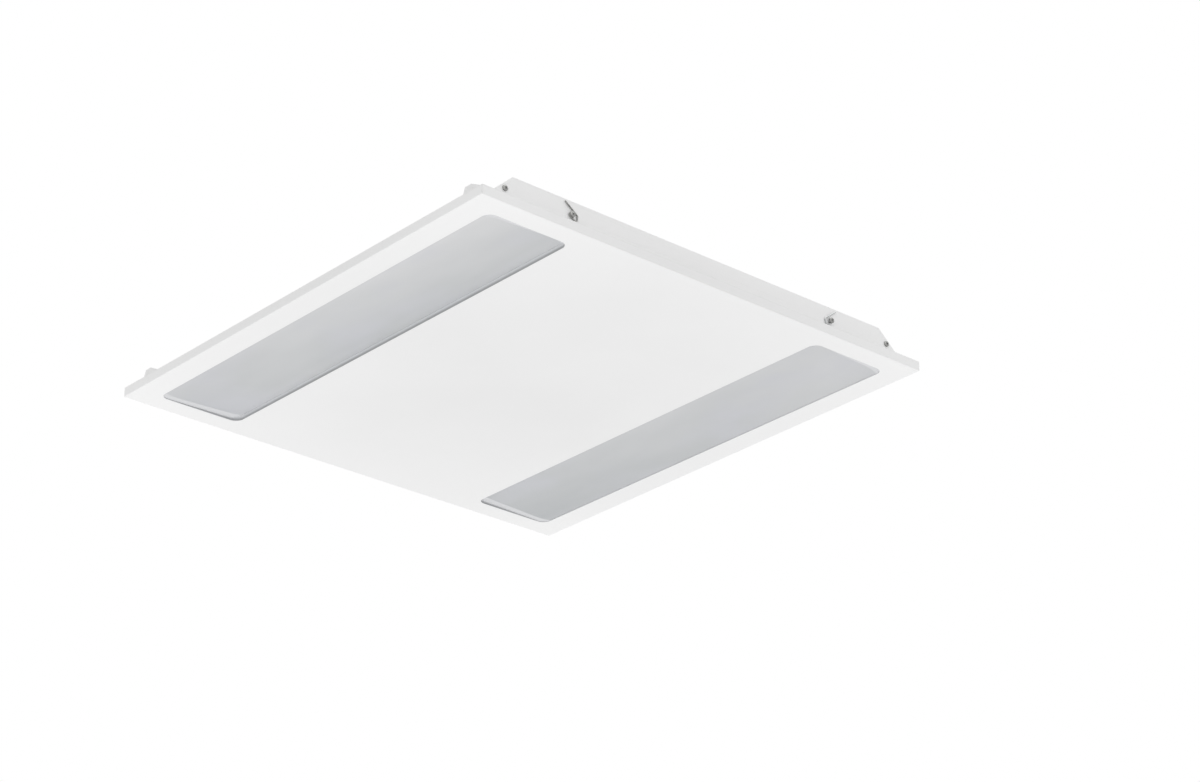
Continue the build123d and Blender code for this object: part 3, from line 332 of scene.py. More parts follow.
zinc = {
    **metal, "light": paint(202, 204, 207), "dark": paint(170, 174, 179), "edgeTone": paint(218, 218, 218),
    "grain": (300.0, 300.0, 40.0), "cloud": 120.0, "rough": (0.34, 0.5), "height": 0.01 * mm,
    "spangle": 260.0,
}
plated = {
    **zinc, "light": paint(206, 208, 211), "dark": paint(184, 187, 192),
    "grain": (700.0, 700.0, 200.0), "cloud": 320.0, "spangle": None,
}
darkSteel = {
    **metal, "light": paint(176, 176, 174), "dark": paint(134, 134, 133), "edgeTone": paint(200, 200, 198),
    "grain": (900.0, 200.0, 900.0), "cloud": 420.0, "rough": (0.34, 0.5), "height": 0.008 * mm,
}
drawnWire = {
    **metal, "light": paint(174, 174, 171), "dark": paint(142, 142, 141), "edgeTone": paint(194, 194, 191),
    "grain": (1200.0, 1200.0, 260.0), "cloud": 300.0, "rough": (0.3, 0.45), "height": 0.006 * mm,
    "edge": 0.15 * mm,
}
# a lighter copy of the drawn wire, which paints the highlight on two catches
litWire = {
    **drawnWire, "light": paint(206, 207, 207), "dark": paint(186, 188, 189), "edgeTone": paint(222, 222, 222),
}
springSteel = {
    **metal, "light": paint(150, 156, 166), "dark": paint(108, 112, 122), "edgeTone": paint(186, 188, 190),
    "grain": (900.0, 60.0, 900.0), "cloud": 90.0, "rough": (0.22, 0.36), "height": 0.006 * mm,
}
aluminium = {
    **metal, "light": paint(226, 227, 228), "dark": paint(200, 202, 204), "edgeTone": paint(238, 238, 238),
    "grain": (700.0, 700.0, 300.0), "cloud": 350.0, "rough": (0.24, 0.38), "height": 0.008 * mm,
}
brass = {
    **metal, "light": paint(222, 192, 118), "dark": paint(182, 148, 80), "edgeTone": paint(236, 214, 150),
    "grain": (800.0, 800.0, 200.0), "cloud": 420.0, "rough": (0.22, 0.4), "height": 0.008 * mm,
}

moulded = {"edge": 0.3 * mm, "edgeShare": 0.3}
mouldedLooks = {
    "plastic_white": {
        **moulded, "light": paint(236, 236, 232), "dark": paint(228, 228, 223), "edgeTone": paint(242, 242, 240),
        "flow": 60.0, "spark": 2600.0, "rough": (0.34, 0.5), "height": 0.01 * mm,
    },
    "block_grey": {
        **moulded, "light": paint(196, 198, 199), "dark": paint(184, 187, 189), "edgeTone": paint(210, 211, 212),
        "flow": 90.0, "spark": 2600.0, "rough": (0.4, 0.55), "height": 0.012 * mm,
    },
    "button_orange": {
        **moulded, "light": paint(236, 122, 38), "dark": paint(220, 104, 26), "edgeTone": paint(244, 150, 80),
        "flow": 180.0, "spark": 3000.0, "rough": (0.3, 0.46), "height": 0.008 * mm,
    },
    "rubber_grey": {
        **moulded, "light": paint(104, 105, 107), "dark": paint(88, 89, 92), "edgeTone": paint(122, 122, 123),
        "flow": 130.0, "spark": 1800.0, "rough": (0.62, 0.8), "height": 0.02 * mm,
    },
    "can_black": {
        **moulded, "light": paint(46, 46, 50), "dark": paint(34, 34, 38), "edgeTone": paint(78, 78, 82),
        "flow": 160.0, "spark": 1500.0, "rough": (0.28, 0.4), "height": 0.006 * mm,
    },
    "core_dark": {
        **moulded, "light": paint(70, 69, 67), "dark": paint(52, 51, 50), "edgeTone": paint(98, 96, 92),
        "flow": 220.0, "spark": 2200.0, "rough": (0.5, 0.7), "height": 0.02 * mm,
    },
}


# moulded plastic or rubber: fine sparked texture, faint flow marks
def mouldedFinish(name, look):
    finish, tree, shader, place = newFinish(name)
    flow = noise(tree, place, look["flow"], 4.0, 0.55)
    spark = noise(tree, place, look["spark"])
    edges, softened = edgeLevel(tree, look["edge"])
    # lighter along the edges, where they are rubbed
    colour = mixColour(tree, times(tree, edges, look["edgeShare"]), tones(tree, flow, look), look["edgeTone"])
    rough = spread(tree, spark, look["rough"])
    dress(tree, shader, colour, rough, bump(tree, spark, look["height"], 1.0, softened))
    return finish


board = {
    "covered": 0.4,         # cells above this level hold copper
    "trackTint": 0.5, "trackHeight": 0.03 * mm, "cloud": 240.0, "cloudHeight": 0.15, "rough": (0.28, 0.42),
}
boardLooks = {
    "board_white": {
        **board, "light": paint(240, 240, 238), "dark": paint(232, 232, 230), "track": paint(222, 222, 218),
        "tracks": 60.0,
    },
    "board_green": {
        **board, "light": paint(34, 104, 62), "dark": paint(22, 84, 48), "track": paint(52, 132, 84),
        "tracks": 150.0,
    },
}


# printed circuit board: tracks show as low ridges under the mask
def maskedBoard(name, look):
    finish, tree, shader, place = newFinish(name)
    values = {"Vector": place, "Scale": look["tracks"], "Randomness": 0.8}
    cells = put(tree, "ShaderNodeTexVoronoi", values, distance="CHEBYCHEV").outputs["Color"]
    chance = put(tree, "ShaderNodeSeparateColor", {0: cells}).outputs[0]
    copper = calc(tree, "GREATER_THAN", chance, look["covered"])
    low = noise(tree, place, look["cloud"], 3.0)
    colour = mixColour(tree, times(tree, copper, look["trackTint"]), tones(tree, low, look), look["track"])
    height = plus(tree, copper, times(tree, low, look["cloudHeight"]))
    rough = spread(tree, low, look["rough"])
    dress(tree, shader, colour, rough, bump(tree, height, look["trackHeight"], 0.8))
    return finish


sheath = {"cloud": 150.0, "rings": (900.0, 500.0, 900.0), "ringHeight": 0.008 * mm, "rough": (0.3, 0.42)}
sheathLooks = {
    "lead_brown": {**sheath, "light": paint(112, 70, 42), "dark": paint(94, 56, 32)},
    "lead_blue": {**sheath, "light": paint(44, 98, 176), "dark": paint(32, 80, 152)},
    "lead_green_yellow": {
        **sheath, "light": paint(232, 204, 40), "dark": paint(216, 186, 28),
        "stripe": paint(40, 128, 60), "stripeLean": 0.6, "stripeEdge": 0.04,
        "lug": paint(206, 207, 206), "lugPlace": (-59.0 * mm, -193.0 * mm, 0.0), "lugRadius": 5.6 * mm,
        "lugEdge": 0.1 * mm,
    },
    "lead_white": {**sheath, "light": paint(232, 231, 226), "dark": paint(220, 219, 213)},
}


# insulation: extruded, slightly glossy, with faint rings; the earth lead has a green stripe along its length
# and a tinned ring at its end
def sheathFinish(name, look):
    finish, tree, shader, place = newFinish(name)
    rings = grain(tree, place, look["rings"])
    colour = tones(tree, noise(tree, place, look["cloud"], 3.0), look)
    if "stripe" in look:
        facing = split(tree, put(tree, "ShaderNodeNewGeometry").outputs["Normal"])
        side = plus(tree, facing["Y"], times(tree, facing["Z"], look["stripeLean"]))
        striped = remap(tree, side, -look["stripeEdge"], look["stripeEdge"], 0.0, 1.0)
        colour = mixColour(tree, striped, colour, look["stripe"])
    if "lug" in look:
        away = vectorCalc(tree, "SUBTRACT", place, look["lugPlace"])[0]
        level = vectorCalc(tree, "MULTIPLY", away, (1.0, 1.0, 0.0))[0]
        reach = vectorCalc(tree, "LENGTH", level)["Value"]
        lug = remap(tree, reach, look["lugRadius"], look["lugRadius"] + look["lugEdge"], 1.0, 0.0)
        colour = mixColour(tree, lug, colour, look["lug"])
        tree.links.new(lug, shader.inputs["Metallic"])
    rough = spread(tree, rings, look["rough"])
    dress(tree, shader, colour, rough, bump(tree, rings, look["ringHeight"]))
    return finish


phosphorLook = {
    "light": paint(246, 208, 92), "dark": paint(236, 190, 62), "cloud": 1400.0, "rough": (0.22, 0.34),
    "height": 0.01 * mm, "ior": 1.43,
}


# yellow phosphor in silicone: soft and slightly cloudy
def phosphorFinish(name, look):
    finish, tree, shader, place = newFinish(name, ior=look["ior"])
    cloudy = noise(tree, place, look["cloud"], 3.0)
    rough = spread(tree, cloudy, look["rough"])
    dress(tree, shader, tones(tree, cloudy, look), rough, bump(tree, cloudy, look["height"]))
    return finish


finishes = {
    "white_powder": powderCoat("white_powder_coat", powder),
    "face_powder": powderCoat("white_powder_face", facePowder),
    "end_powder": powderCoat("white_powder_ends", endPowder),
    "trough_white": powderCoat("trough_white_coat", troughPowder),
    "lens_grey": frostedLens("frosted_lens", lensLook),
    "zinc_steel": metalFinish("zinc_plated_steel", zinc),
    "plated_steel": metalFinish("plated_steel_small", plated),
    "dark_steel": metalFinish("dark_screw_steel", darkSteel),
    "wire_steel": metalFinish("drawn_wire", drawnWire),
    "bright_wire": metalFinish("drawn_wire_lit_copy", litWire),
    "spring_steel": metalFinish("blued_spring_steel", springSteel),
    "rivet_aluminium": metalFinish("rivet_aluminium_bright", aluminium),
    "brass_nut": metalFinish("turned_brass", brass),
    "led_phosphor": phosphorFinish("phosphor", phosphorLook),
}
for slotName, look in mouldedLooks.items():
    finishes[slotName] = mouldedFinish(slotName + "_moulded", look)
for slotName, look in boardLooks.items():
    finishes[slotName] = maskedBoard(slotName + "_mask", look)
for slotName, look in sheathLooks.items():
    finishes[slotName] = sheathFinish(slotName + "_sheath", look)
print("finishes made:", len(finishes))

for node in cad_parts.values():
    for materialSlot in node.material_slots:
        plainName = materialSlot.material.name.split(".")[0]
        materialSlot.link = "OBJECT"
        materialSlot.material = finishes[plainName]
# some pieces get another finish: the face with its painted recess shade, a lighter white on the end plates
# and grid clips, a lighter wire that paints the highlight on two catches, and plating without spangle on the
# clinch nuts and the lid's pin
batches = {
    "face_powder": ["front_plate"],
    "end_powder": ["end_plate_front", "end_plate_rear",
                   "grid_clip_1", "grid_clip_2", "grid_clip_3", "grid_clip_4"],
    "bright_wire": ["swing_catch_2", "swing_catch_3"],
    "plated_steel": ["clinch_nuts", "lid_pin"],
}
for finishName, nodeNames in batches.items():
    for nodeName in nodeNames:
        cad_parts[nodeName].material_slots[0].material = finishes[finishName]
print("finishes put on the frame's nodes")


# a tree with named sizes and finishes; returns it and its inputs
def openTree(name, sizes, finishLabels=("Finish",)):
    tree = bpy.data.node_groups.new(name, "GeometryNodeTree")
    tree.interface.new_socket("Points", in_out="INPUT", socket_type="NodeSocketGeometry")
    for label, value in sizes.items():
        kind = "NodeSocketInt" if isinstance(value, int) else "NodeSocketFloat"
        tree.interface.new_socket(label, in_out="INPUT", socket_type=kind)
    for label in finishLabels:
        tree.interface.new_socket(label, in_out="INPUT", socket_type="NodeSocketMaterial")
    tree.interface.new_socket("Pieces", in_out="OUTPUT", socket_type="NodeSocketGeometry")
    return tree, put(tree, "NodeGroupInput").outputs


def shifted(tree, shape, z, turn=0.0):
    offset = put(tree, "ShaderNodeCombineXYZ", {"Z": z}).outputs[0]
    values = {"Geometry": shape, "Translation": offset, "Rotation": (0.0, 0.0, turn)}
    return put(tree, "GeometryNodeTransform", values).outputs[0]


# its middle is at z
def cylinder(tree, radius, depth, sides, z=0.0):
    values = {"Radius": radius, "Depth": depth, "Vertices": sides}
    return shifted(tree, put(tree, "GeometryNodeMeshCylinder", values).outputs["Mesh"], z)


# stands on z = 0, or hangs below it with a way of -1
def standing(tree, radius, depth, sides, way=1.0):
    return cylinder(tree, radius, depth, sides, times(tree, depth, 0.5 * way))


# stands on z, narrowing or widening to its top
def frustum(tree, bottom, top, depth, sides, z=0.0, turn=0.0):
    values = {"Radius Bottom": bottom, "Radius Top": top, "Depth": depth, "Vertices": sides}
    return shifted(tree, put(tree, "GeometryNodeMeshCone", values).outputs["Mesh"], z, turn)


def block(tree, x, y, z):
    size = put(tree, "ShaderNodeCombineXYZ", {"X": x, "Y": y, "Z": z}).outputs[0]
    return put(tree, "GeometryNodeMeshCube", {"Size": size}).outputs["Mesh"]


def ball(tree, radius, segments, rings):
    values = {"Radius": radius, "Segments": segments, "Rings": rings}
    return put(tree, "GeometryNodeMeshUVSphere", values).outputs["Mesh"]


def combine(tree, operation, first, *others):
    made = put(tree, "GeometryNodeMeshBoolean", operation=operation, solver="EXACT")
    if operation == "DIFFERENCE":
        tree.links.new(first, made.inputs["Mesh 1"])
        shapes = others
    else:
        shapes = (first, *others)
    for shape in shapes:
        tree.links.new(shape, made.inputs["Mesh 2"])
    return made.outputs["Mesh"]


def joined(tree, *shapes):
    made = put(tree, "GeometryNodeJoinGeometry")
    for shape in shapes:
        tree.links.new(shape, made.inputs[0])
    return made.outputs[0]


# a disc on z = 0 whose top is the cap of a large ball, which drops by this much to the rim
def crowned(tree, radius, height, drop, sides):
    squares = plus(tree, times(tree, radius, radius), times(tree, drop, drop))
    large = calc(tree, "DIVIDE", squares, times(tree, drop, 2.0))
    cap = shifted(tree, ball(tree, large, 48, 64), minus(tree, height, large))
    return combine(tree, "INTERSECT", standing(tree, radius, height, sides), cap)


threadCut = {"steps": 14, "ridge": 0.42}  # steps in one turn, and the ridge's size as a share of the pitch


# a screw thread: one triangular ridge wound round a shank that runs down from z
def thread(tree, radius, pitch, length, z):
    spiral = put(tree, "GeometryNodeCurveSpiral", {
        "Resolution": threadCut["steps"], "Rotations": calc(tree, "DIVIDE", length, pitch),
        "Start Radius": radius, "End Radius": radius, "Height": length,
    })
    profile = put(tree, "GeometryNodeCurvePrimitiveCircle", {
        "Resolution": 3, "Radius": times(tree, pitch, threadCut["ridge"]),
    })
    ridge = put(tree, "GeometryNodeCurveToMesh", {
        "Curve": spiral.outputs[0], "Profile Curve": profile.outputs[0], "Fill Caps": True,
    }).outputs[0]
    return shifted(tree, ridge, minus(tree, z, length))


# puts one shape on every point, along the point's own axis, turned by chance
def placed(tree, inputs, shape, spin=True):
    axis = put(tree, "GeometryNodeInputNamedAttribute", {"Name": "axis"}, data_type="FLOAT_VECTOR").outputs[0]
    turned = put(tree, "FunctionNodeAlignRotationToVector", {"Vector": axis}, axis="Z").outputs[0]
    if spin:
        values = {2: 0.0, 3: math.tau, "Seed": inputs["Seed"]}
        chance = put(tree, "FunctionNodeRandomValue", values, data_type="FLOAT").outputs[1]
        extra = put(tree, "FunctionNodeAxisAngleToRotation", {"Axis": (0, 0, 1), "Angle": chance}).outputs[0]
        values = {0: turned, 1: extra}
        turned = put(tree, "FunctionNodeRotateRotation", values, rotation_space="LOCAL").outputs[0]
    values = {"Points": inputs["Points"], "Instance": shape, "Rotation": turned}
    copies = put(tree, "GeometryNodeInstanceOnPoints", values).outputs[0]
    return put(tree, "GeometryNodeRealizeInstances", {"Geometry": copies}).outputs[0]


def coated(tree, shape, material):
    return put(tree, "GeometryNodeSetMaterial", {"Geometry": shape, "Material": material}).outputs[0]


def closeTree(tree, inputs, shape):
    put(tree, "NodeGroupOutput", {"Pieces": coated(tree, placed(tree, inputs, shape), inputs["Finish"])})
    return tree


smoothAngle = math.radians(35)


# evaluates a tree on its points and keeps the result as one plain mesh
def grow(name, tree, points, sizes, slotNames, node):
    cloud = bpy.data.meshes.new(name + "_points")
    cloud.from_pydata([place for place, axis in points], [], [])
    axes = cloud.attributes.new("axis", "FLOAT_VECTOR", "POINT")
    for index, (place, axis) in enumerate(points):
        axes.data[index].vector = axis
    holder = bpy.data.objects.new(name + "_points", cloud)
    bpy.context.scene.collection.objects.link(holder)
    modifier = holder.modifiers.new("Build", "NODES")
    modifier.node_group = tree
    settings = dict(sizes)
    for label, slotName in zip(("Finish", "Second Finish"), slotNames):
        settings[label] = finishes[slotName]
    for item in tree.interface.items_tree:
        if item.in_out == "INPUT" and item.name in settings:
            modifier[item.identifier] = settings[item.name]
    ready = bpy.context.evaluated_depsgraph_get()
    mesh = bpy.data.meshes.new_from_object(holder.evaluated_get(ready), depsgraph=ready)
    holder.modifiers.remove(modifier)
    bpy.data.objects.remove(holder)
    mesh.name = name
    mesh.shade_smooth()
    mesh.set_sharp_from_angle(angle=smoothAngle)
    piece = bpy.data.objects.new(name, mesh)
    bpy.context.scene.collection.objects.link(piece)
    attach(piece, "luminaire")
    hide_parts(node)
    print("made", name, len(mesh.polygons), "faces on", len(points), "points")


# centre and half size of a node's box
def middle(node):
    low, high = (Vector(corner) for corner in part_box(node))
    return (low + high) / 2, (high - low) / 2


# lowest height of a node
def foot(node):
    centre, half = middle(node)
    return centre.z - half.z


# points at one height, for pieces that face up, or down with a way of -1
def atHeight(places, z, way=1):
    return [((x, y, z), (0, 0, way)) for x, y in places]


def corners(x, y):
    return [(sx * x, sy * y) for sx in (-1, 1) for sy in (-1, 1)]


endScrew = {
    "Head Radius": 3.1 * mm, "Head Height": 2.0 * mm, "Crown Drop": 0.7 * mm, "Head Sides": 48,
    "Recess Width": 0.8 * mm, "Recess Reach": 1.15, "Recess Depth": 1.2 * mm,
    "Hub Share": 0.85, "Hub Sides": 12,
    "Shoulder Radius": 1.9 * mm, "Shoulder Length": 0.01 * mm, "Shoulder Sides": 40,
    "Shank Radius": 1.3 * mm, "Shank Length": 4.6 * mm, "Shank Sides": 24, "Thread Pitch": 0.5 * mm,
    "Seed": 3,
}
pivotScrew = {**endScrew, "Shoulder Length": 1.8 * mm, "Seed": 11}
boardScrew = {
    **endScrew, "Head Radius": 2.8 * mm, "Head Height": 1.7 * mm, "Crown Drop": 0.5 * mm,
    "Recess Width": 0.7 * mm, "Recess Depth": 1.0 * mm, "Shoulder Radius": 1.5 * mm,
    "Shank Length": 3.9 * mm, "Seed": 21,
}
driverScrew = {
    **endScrew, "Head Radius": 4.0 * mm, "Recess Width": 1.0 * mm, "Shoulder Radius": 2.0 * mm,
    "Shank Radius": 1.75 * mm, "Shank Length": 5.1 * mm, "Thread Pitch": 0.7 * mm, "Seed": 31,
}


# pan head with a crossed recess, an optional shoulder, and a threaded shank; z = 0 is under the head
def buildScrewTree():
    tree, inputs = openTree("CrossRecessedScrew", endScrew)
    top = inputs["Head Height"]
    shoulderLength = inputs["Shoulder Length"]
    shankLength = inputs["Shank Length"]
    head = crowned(tree, inputs["Head Radius"], top, inputs["Crown Drop"], inputs["Head Sides"])
    reach = times(tree, inputs["Head Radius"], inputs["Recess Reach"])
    deep = times(tree, inputs["Recess Depth"], 2.0)
    slot = block(tree, reach, inputs["Recess Width"], deep)
    hubRadius = times(tree, inputs["Recess Width"], inputs["Hub Share"])
    hub = cylinder(tree, hubRadius, deep, inputs["Hub Sides"], top)
    cross = [shifted(tree, slot, top, turn) for turn in (0.0, math.pi / 2)]
    cut = combine(tree, "DIFFERENCE", head, *cross, hub)
    shoulder = standing(tree, inputs["Shoulder Radius"], shoulderLength, inputs["Shoulder Sides"], -1.0)
    shankMiddle = minus(tree, times(tree, shankLength, -0.5), shoulderLength)
    shank = cylinder(tree, inputs["Shank Radius"], shankLength, inputs["Shank Sides"], shankMiddle)
    ridge = thread(tree, inputs["Shank Radius"], inputs["Thread Pitch"], shankLength,
                   times(tree, shoulderLength, -1.0))
    return closeTree(tree, inputs, joined(tree, cut, shoulder, shank, ridge))


screwTree = buildScrewTree()


# four places in the two end walls, seated under the heads
def wallScrewPoints(node, sizes):
    centre, half = middle(node)
    x = half.x - sizes["Head Radius"]
    y = half.y - sizes["Head Height"]
    return [((sx * x, sy * y, centre.z), (0, sy, 0)) for sx in (-1, 1) for sy in (-1, 1)]


for nodeName, sizes in (("corner_screws", endScrew), ("pivot_screws", pivotScrew)):
    grow(nodeName + "_turned", screwTree, wallScrewPoints(nodeName, sizes), sizes, ["dark_steel"], nodeName)

# each strip has two boards, end to end, with three screws in each
boards = {"middle": 129.0 * mm, "length": 236.0 * mm, "screwStep": 95.0 * mm}
boardX = middle("led_boards_left")[0].x
boardScrewY = [sy * boards["middle"] + step * boards["screwStep"] for sy in (-1, 1) for step in (-1, 0, 1)]
boardScrewPlaces = [(sx * boardX, y) for sx in (-1, 1) for y in boardScrewY]
grow("board_screws_turned", screwTree, atHeight(boardScrewPlaces, foot("led_boards_left"), -1), boardScrew,
     ["plated_steel"], "board_screws")

# the driver's tray has an ear at each end
tray = {"earInset": 6.0 * mm, "sheet": 0.7 * mm}
trayMiddle, trayHalf = middle("driver_tray")
earPlaces = [(0, trayMiddle.y + side * (trayHalf.y - tray["earInset"])) for side in (-1, 1)]
headSeat = trayMiddle.z + trayHalf.z - tray["sheet"]
grow("driver_screws_turned", screwTree, atHeight(earPlaces, headSeat, -1), driverScrew, ["plated_steel"],
     "driver_screws")

footNut = {
    "Across Flats": 7.0 * mm, "Corner Share": 0.57735, "Height": 3.2 * mm, "Chamfer Share": 0.52,
    "Bore Radius": 1.85 * mm, "Bore Sides": 24, "Sink Bottom": 0.9, "Sink Top": 1.4, "Sink Start": 0.8,
    "Sink Depth": 0.3, "Seed": 5,
}


# a hexagon with both ends turned off at the corners and a countersunk bore; z = 0 is its seat
def buildNutTree():
    tree, inputs = openTree("HexagonNut", footNut)
    flats, height, bore = inputs["Across Flats"], inputs["Height"], inputs["Bore Radius"]
    half = times(tree, height, 0.5)
    hexagon = cylinder(tree, times(tree, flats, inputs["Corner Share"]), height, 6, half)
    reach = times(tree, flats, inputs["Chamfer Share"])
    squares = plus(tree, times(tree, reach, reach), times(tree, half, half))
    rounding = shifted(tree, ball(tree, calc(tree, "SQRT", squares), 48, 48), half)
    body = combine(tree, "INTERSECT", hexagon, rounding)
    hole = cylinder(tree, bore, times(tree, height, 2.0), inputs["Bore Sides"], half)
    sink = frustum(tree, times(tree, bore, inputs["Sink Bottom"]), times(tree, bore, inputs["Sink Top"]),
                   times(tree, height, inputs["Sink Depth"]), inputs["Bore Sides"],
                   times(tree, height, inputs["Sink Start"]))
    return closeTree(tree, inputs, combine(tree, "DIFFERENCE", body, hole, sink))


nutTree = buildNutTree()
# three weld studs in the channel behind the rim on each side, with a nut on each
studRows = {"inset": 2.0 * mm, "step": 199.0 * mm}
studLine = middle("plate_studs")[1].x - studRows["inset"]
studSteps = (-studRows["step"], 0.0, studRows["step"])
studPlaces = [(side * studLine, along) for side in (-1, 1) for along in studSteps]
studPlaces += [(along, side * studLine) for side in (-1, 1) for along in studSteps]
earthPlace = middle("earth_nut")[0].xy
for nodeName, places, seed, slotName in (
    ("foot_nuts", studPlaces, 5, "plated_steel"), ("driver_nuts", earPlaces, 8, "plated_steel"),
    ("earth_nut", [earthPlace], 2, "brass_nut"),
):
    grow(nodeName + "_turned", nutTree, atHeight(places, foot(nodeName)), {**footNut, "Seed": seed},
         [slotName], nodeName)

weldStud = {
    "Radius": 2.0 * mm, "Length": 6.0 * mm, "Pitch": 0.7 * mm, "Tip Pitches": 1.2, "Tip Share": 0.7,
    "Shank Sides": 24, "Collar Height": 0.4 * mm, "Collar Sides": 32, "Seed": 4,
}


# a threaded stud with its weld collar at z = 0 and a pointed end
def buildStudTree():
    tree, inputs = openTree("WeldStud", weldStud)
    pitch, sides = inputs["Pitch"], inputs["Shank Sides"]
    root = minus(tree, inputs["Radius"], times(tree, pitch, threadCut["ridge"]))
    tip = times(tree, pitch, inputs["Tip Pitches"])
    straight = minus(tree, inputs["Length"], tip)
    shank = standing(tree, root, straight, sides)
    end = frustum(tree, root, times(tree, root, inputs["Tip Share"]), tip, sides, straight)
    collar = standing(tree, inputs["Radius"], inputs["Collar Height"], inputs["Collar Sides"])
    ridge = thread(tree, root, pitch, minus(tree, straight, inputs["Collar Height"]), straight)
    return closeTree(tree, inputs, joined(tree, shank, end, collar, ridge))


studTree = buildStudTree()
earthStud = {**weldStud, "Length": 9.0 * mm, "Seed": 6}
earthStudPlace = middle("earth_stud")[0].xy
for nodeName, places, sizes in (
    ("plate_studs", studPlaces, weldStud), ("earth_stud", [earthStudPlace], earthStud),
):
    grow(nodeName + "_turned", studTree, atHeight(places, foot(nodeName)), sizes, ["plated_steel"], nodeName)

bayRivet = {
    "Head Radius": 3.2 * mm, "Head Height": 1.0 * mm, "Crown Drop": 0.75 * mm, "Head Sides": 40,
    "Grip": 1.4 * mm, "Shank Radius": 1.6 * mm, "Shank Sides": 24, "Set Share": 0.86, "Set Sides": 32,
    "Mandrel Radius": 0.9 * mm, "Mandrel Fit": 0.92, "Mandrel Length": 0.6, "Mandrel Middle": 0.45,
    "Mandrel Sides": 20, "Seed": 9,
}
earRivet = {**bayRivet, "Grip": 2.3 * mm, "Seed": 12}
springRivet = {**bayRivet, "Head Radius": 3.6 * mm, "Shank Radius": 2.0 * mm, "Grip": 1.1 * mm, "Seed": 14}


# a crowned head with the broken mandrel sunk in it, a shank, and the set end; z = 0 is under the head
def buildRivetTree():
    tree, inputs = openTree("BlindRivet", bayRivet)
    top, drop, sides = inputs["Head Height"], inputs["Crown Drop"], inputs["Mandrel Sides"]
    domed = crowned(tree, inputs["Head Radius"], top, drop, inputs["Head Sides"])
    head = combine(tree, "DIFFERENCE", domed, cylinder(tree, inputs["Mandrel Radius"], top, sides, top))
    mandrelRadius = times(tree, inputs["Mandrel Radius"], inputs["Mandrel Fit"])
    mandrelLength = times(tree, top, inputs["Mandrel Length"])
    mandrel = cylinder(tree, mandrelRadius, mandrelLength, sides, times(tree, top, inputs["Mandrel Middle"]))
    shank = standing(tree, inputs["Shank Radius"], inputs["Grip"], inputs["Shank Sides"], -1.0)
    setRadius = times(tree, inputs["Head Radius"], inputs["Set Share"])
    setEnd = crowned(tree, setRadius, top, drop, inputs["Set Sides"])
    below = put(tree, "ShaderNodeCombineXYZ", {"Z": times(tree, inputs["Grip"], -1.0)}).outputs[0]
    values = {"Geometry": setEnd, "Rotation": (math.pi, 0.0, 0.0), "Translation": below}
    flipped = put(tree, "GeometryNodeTransform", values).outputs[0]
    return closeTree(tree, inputs, joined(tree, head, mandrel, shank, flipped))


rivetTree = buildRivetTree()
rivetPlaces = {
    "bayX": 74.0 * mm, "bayY": 20.0 * mm,                           # from the bay's middle
    "earX": 40.9 * mm, "earY": 6.45 * mm, "earFoot": 0.9 * mm,      # from the ears' middle and the pin's edge
    "springY": 150.0 * mm,
}
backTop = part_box("back_box")[1][2]
bayY = middle("terminal_bay")[0].y
earX = middle("lid_hinge_ears")[0].x
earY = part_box("lid_pin")[0][1] + rivetPlaces["earY"]
bayCorners = [(sx * rivetPlaces["bayX"], bayY + sy * rivetPlaces["bayY"]) for sx in (-1, 1) for sy in (-1, 1)]
earCorners = [(earX + sx * rivetPlaces["earX"], earY) for sx in (-1, 1)]
springSeat = foot("spring_rivets") + springRivet["Head Height"]
for name, points, sizes, nodeName in (
    ("bay_rivets_set", atHeight(bayCorners, backTop), bayRivet, "bay_rivets"),
    ("ear_rivets_set", atHeight(earCorners, backTop + rivetPlaces["earFoot"]), earRivet, "bay_rivets"),
    ("spring_rivets_set", atHeight(corners(boardX, rivetPlaces["springY"]), springSeat, -1), springRivet,
     "spring_rivets"),
):
    grow(name, rivetTree, points, sizes, ["rivet_aluminium"], nodeName)

lightSource = {
    "Side": 3.0 * mm, "Corner Share": 0.70711, "Taper": 0.93, "Body Height": 0.68 * mm,
    "Lens Radius": 1.2 * mm, "Lens Taper": 0.8, "Lens Height": 0.12 * mm, "Lens Sides": 16,
}


# a tapered white package with a round of phosphor set in its face; z = 0 is the board
def buildLightTree():
    tree, inputs = openTree("LightSource", lightSource, ("Finish", "Second Finish"))
    corner = times(tree, inputs["Side"], inputs["Corner Share"])
    narrow = times(tree, corner, inputs["Taper"])
    body = frustum(tree, corner, narrow, inputs["Body Height"], 4, 0.0, math.pi / 4)
    phosphor = frustum(tree, inputs["Lens Radius"], times(tree, inputs["Lens Radius"], inputs["Lens Taper"]),
                       inputs["Lens Height"], inputs["Lens Sides"], inputs["Body Height"])
    both = joined(tree, coated(tree, phosphor, inputs["Finish"]), coated(tree, body, inputs["Second Finish"]))
    put(tree, "NodeGroupOutput", {"Pieces": placed(tree, inputs, both, spin=False)})
    return tree


lightTree = buildLightTree()
lightRows = {"perRow": 12, "apart": 6.0 * mm}  # two rows a board, each this far from the board's middle line
lightStep = boards["length"] / lightRows["perRow"]
lightSteps = [(count - (lightRows["perRow"] - 1) / 2) * lightStep for count in range(lightRows["perRow"])]
for side, nodeName in ((-1, "leds_left"), (1, "leds_right")):
    places = [(side * stripMiddle + row * lightRows["apart"], end * boards["middle"] + along)
              for end in (-1, 1) for row in (-1, 1) for along in lightSteps]
    grow(nodeName + "_packages", lightTree, atHeight(places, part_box(nodeName)[1][2], -1), lightSource,
         ["led_phosphor", "plastic_white"], nodeName)

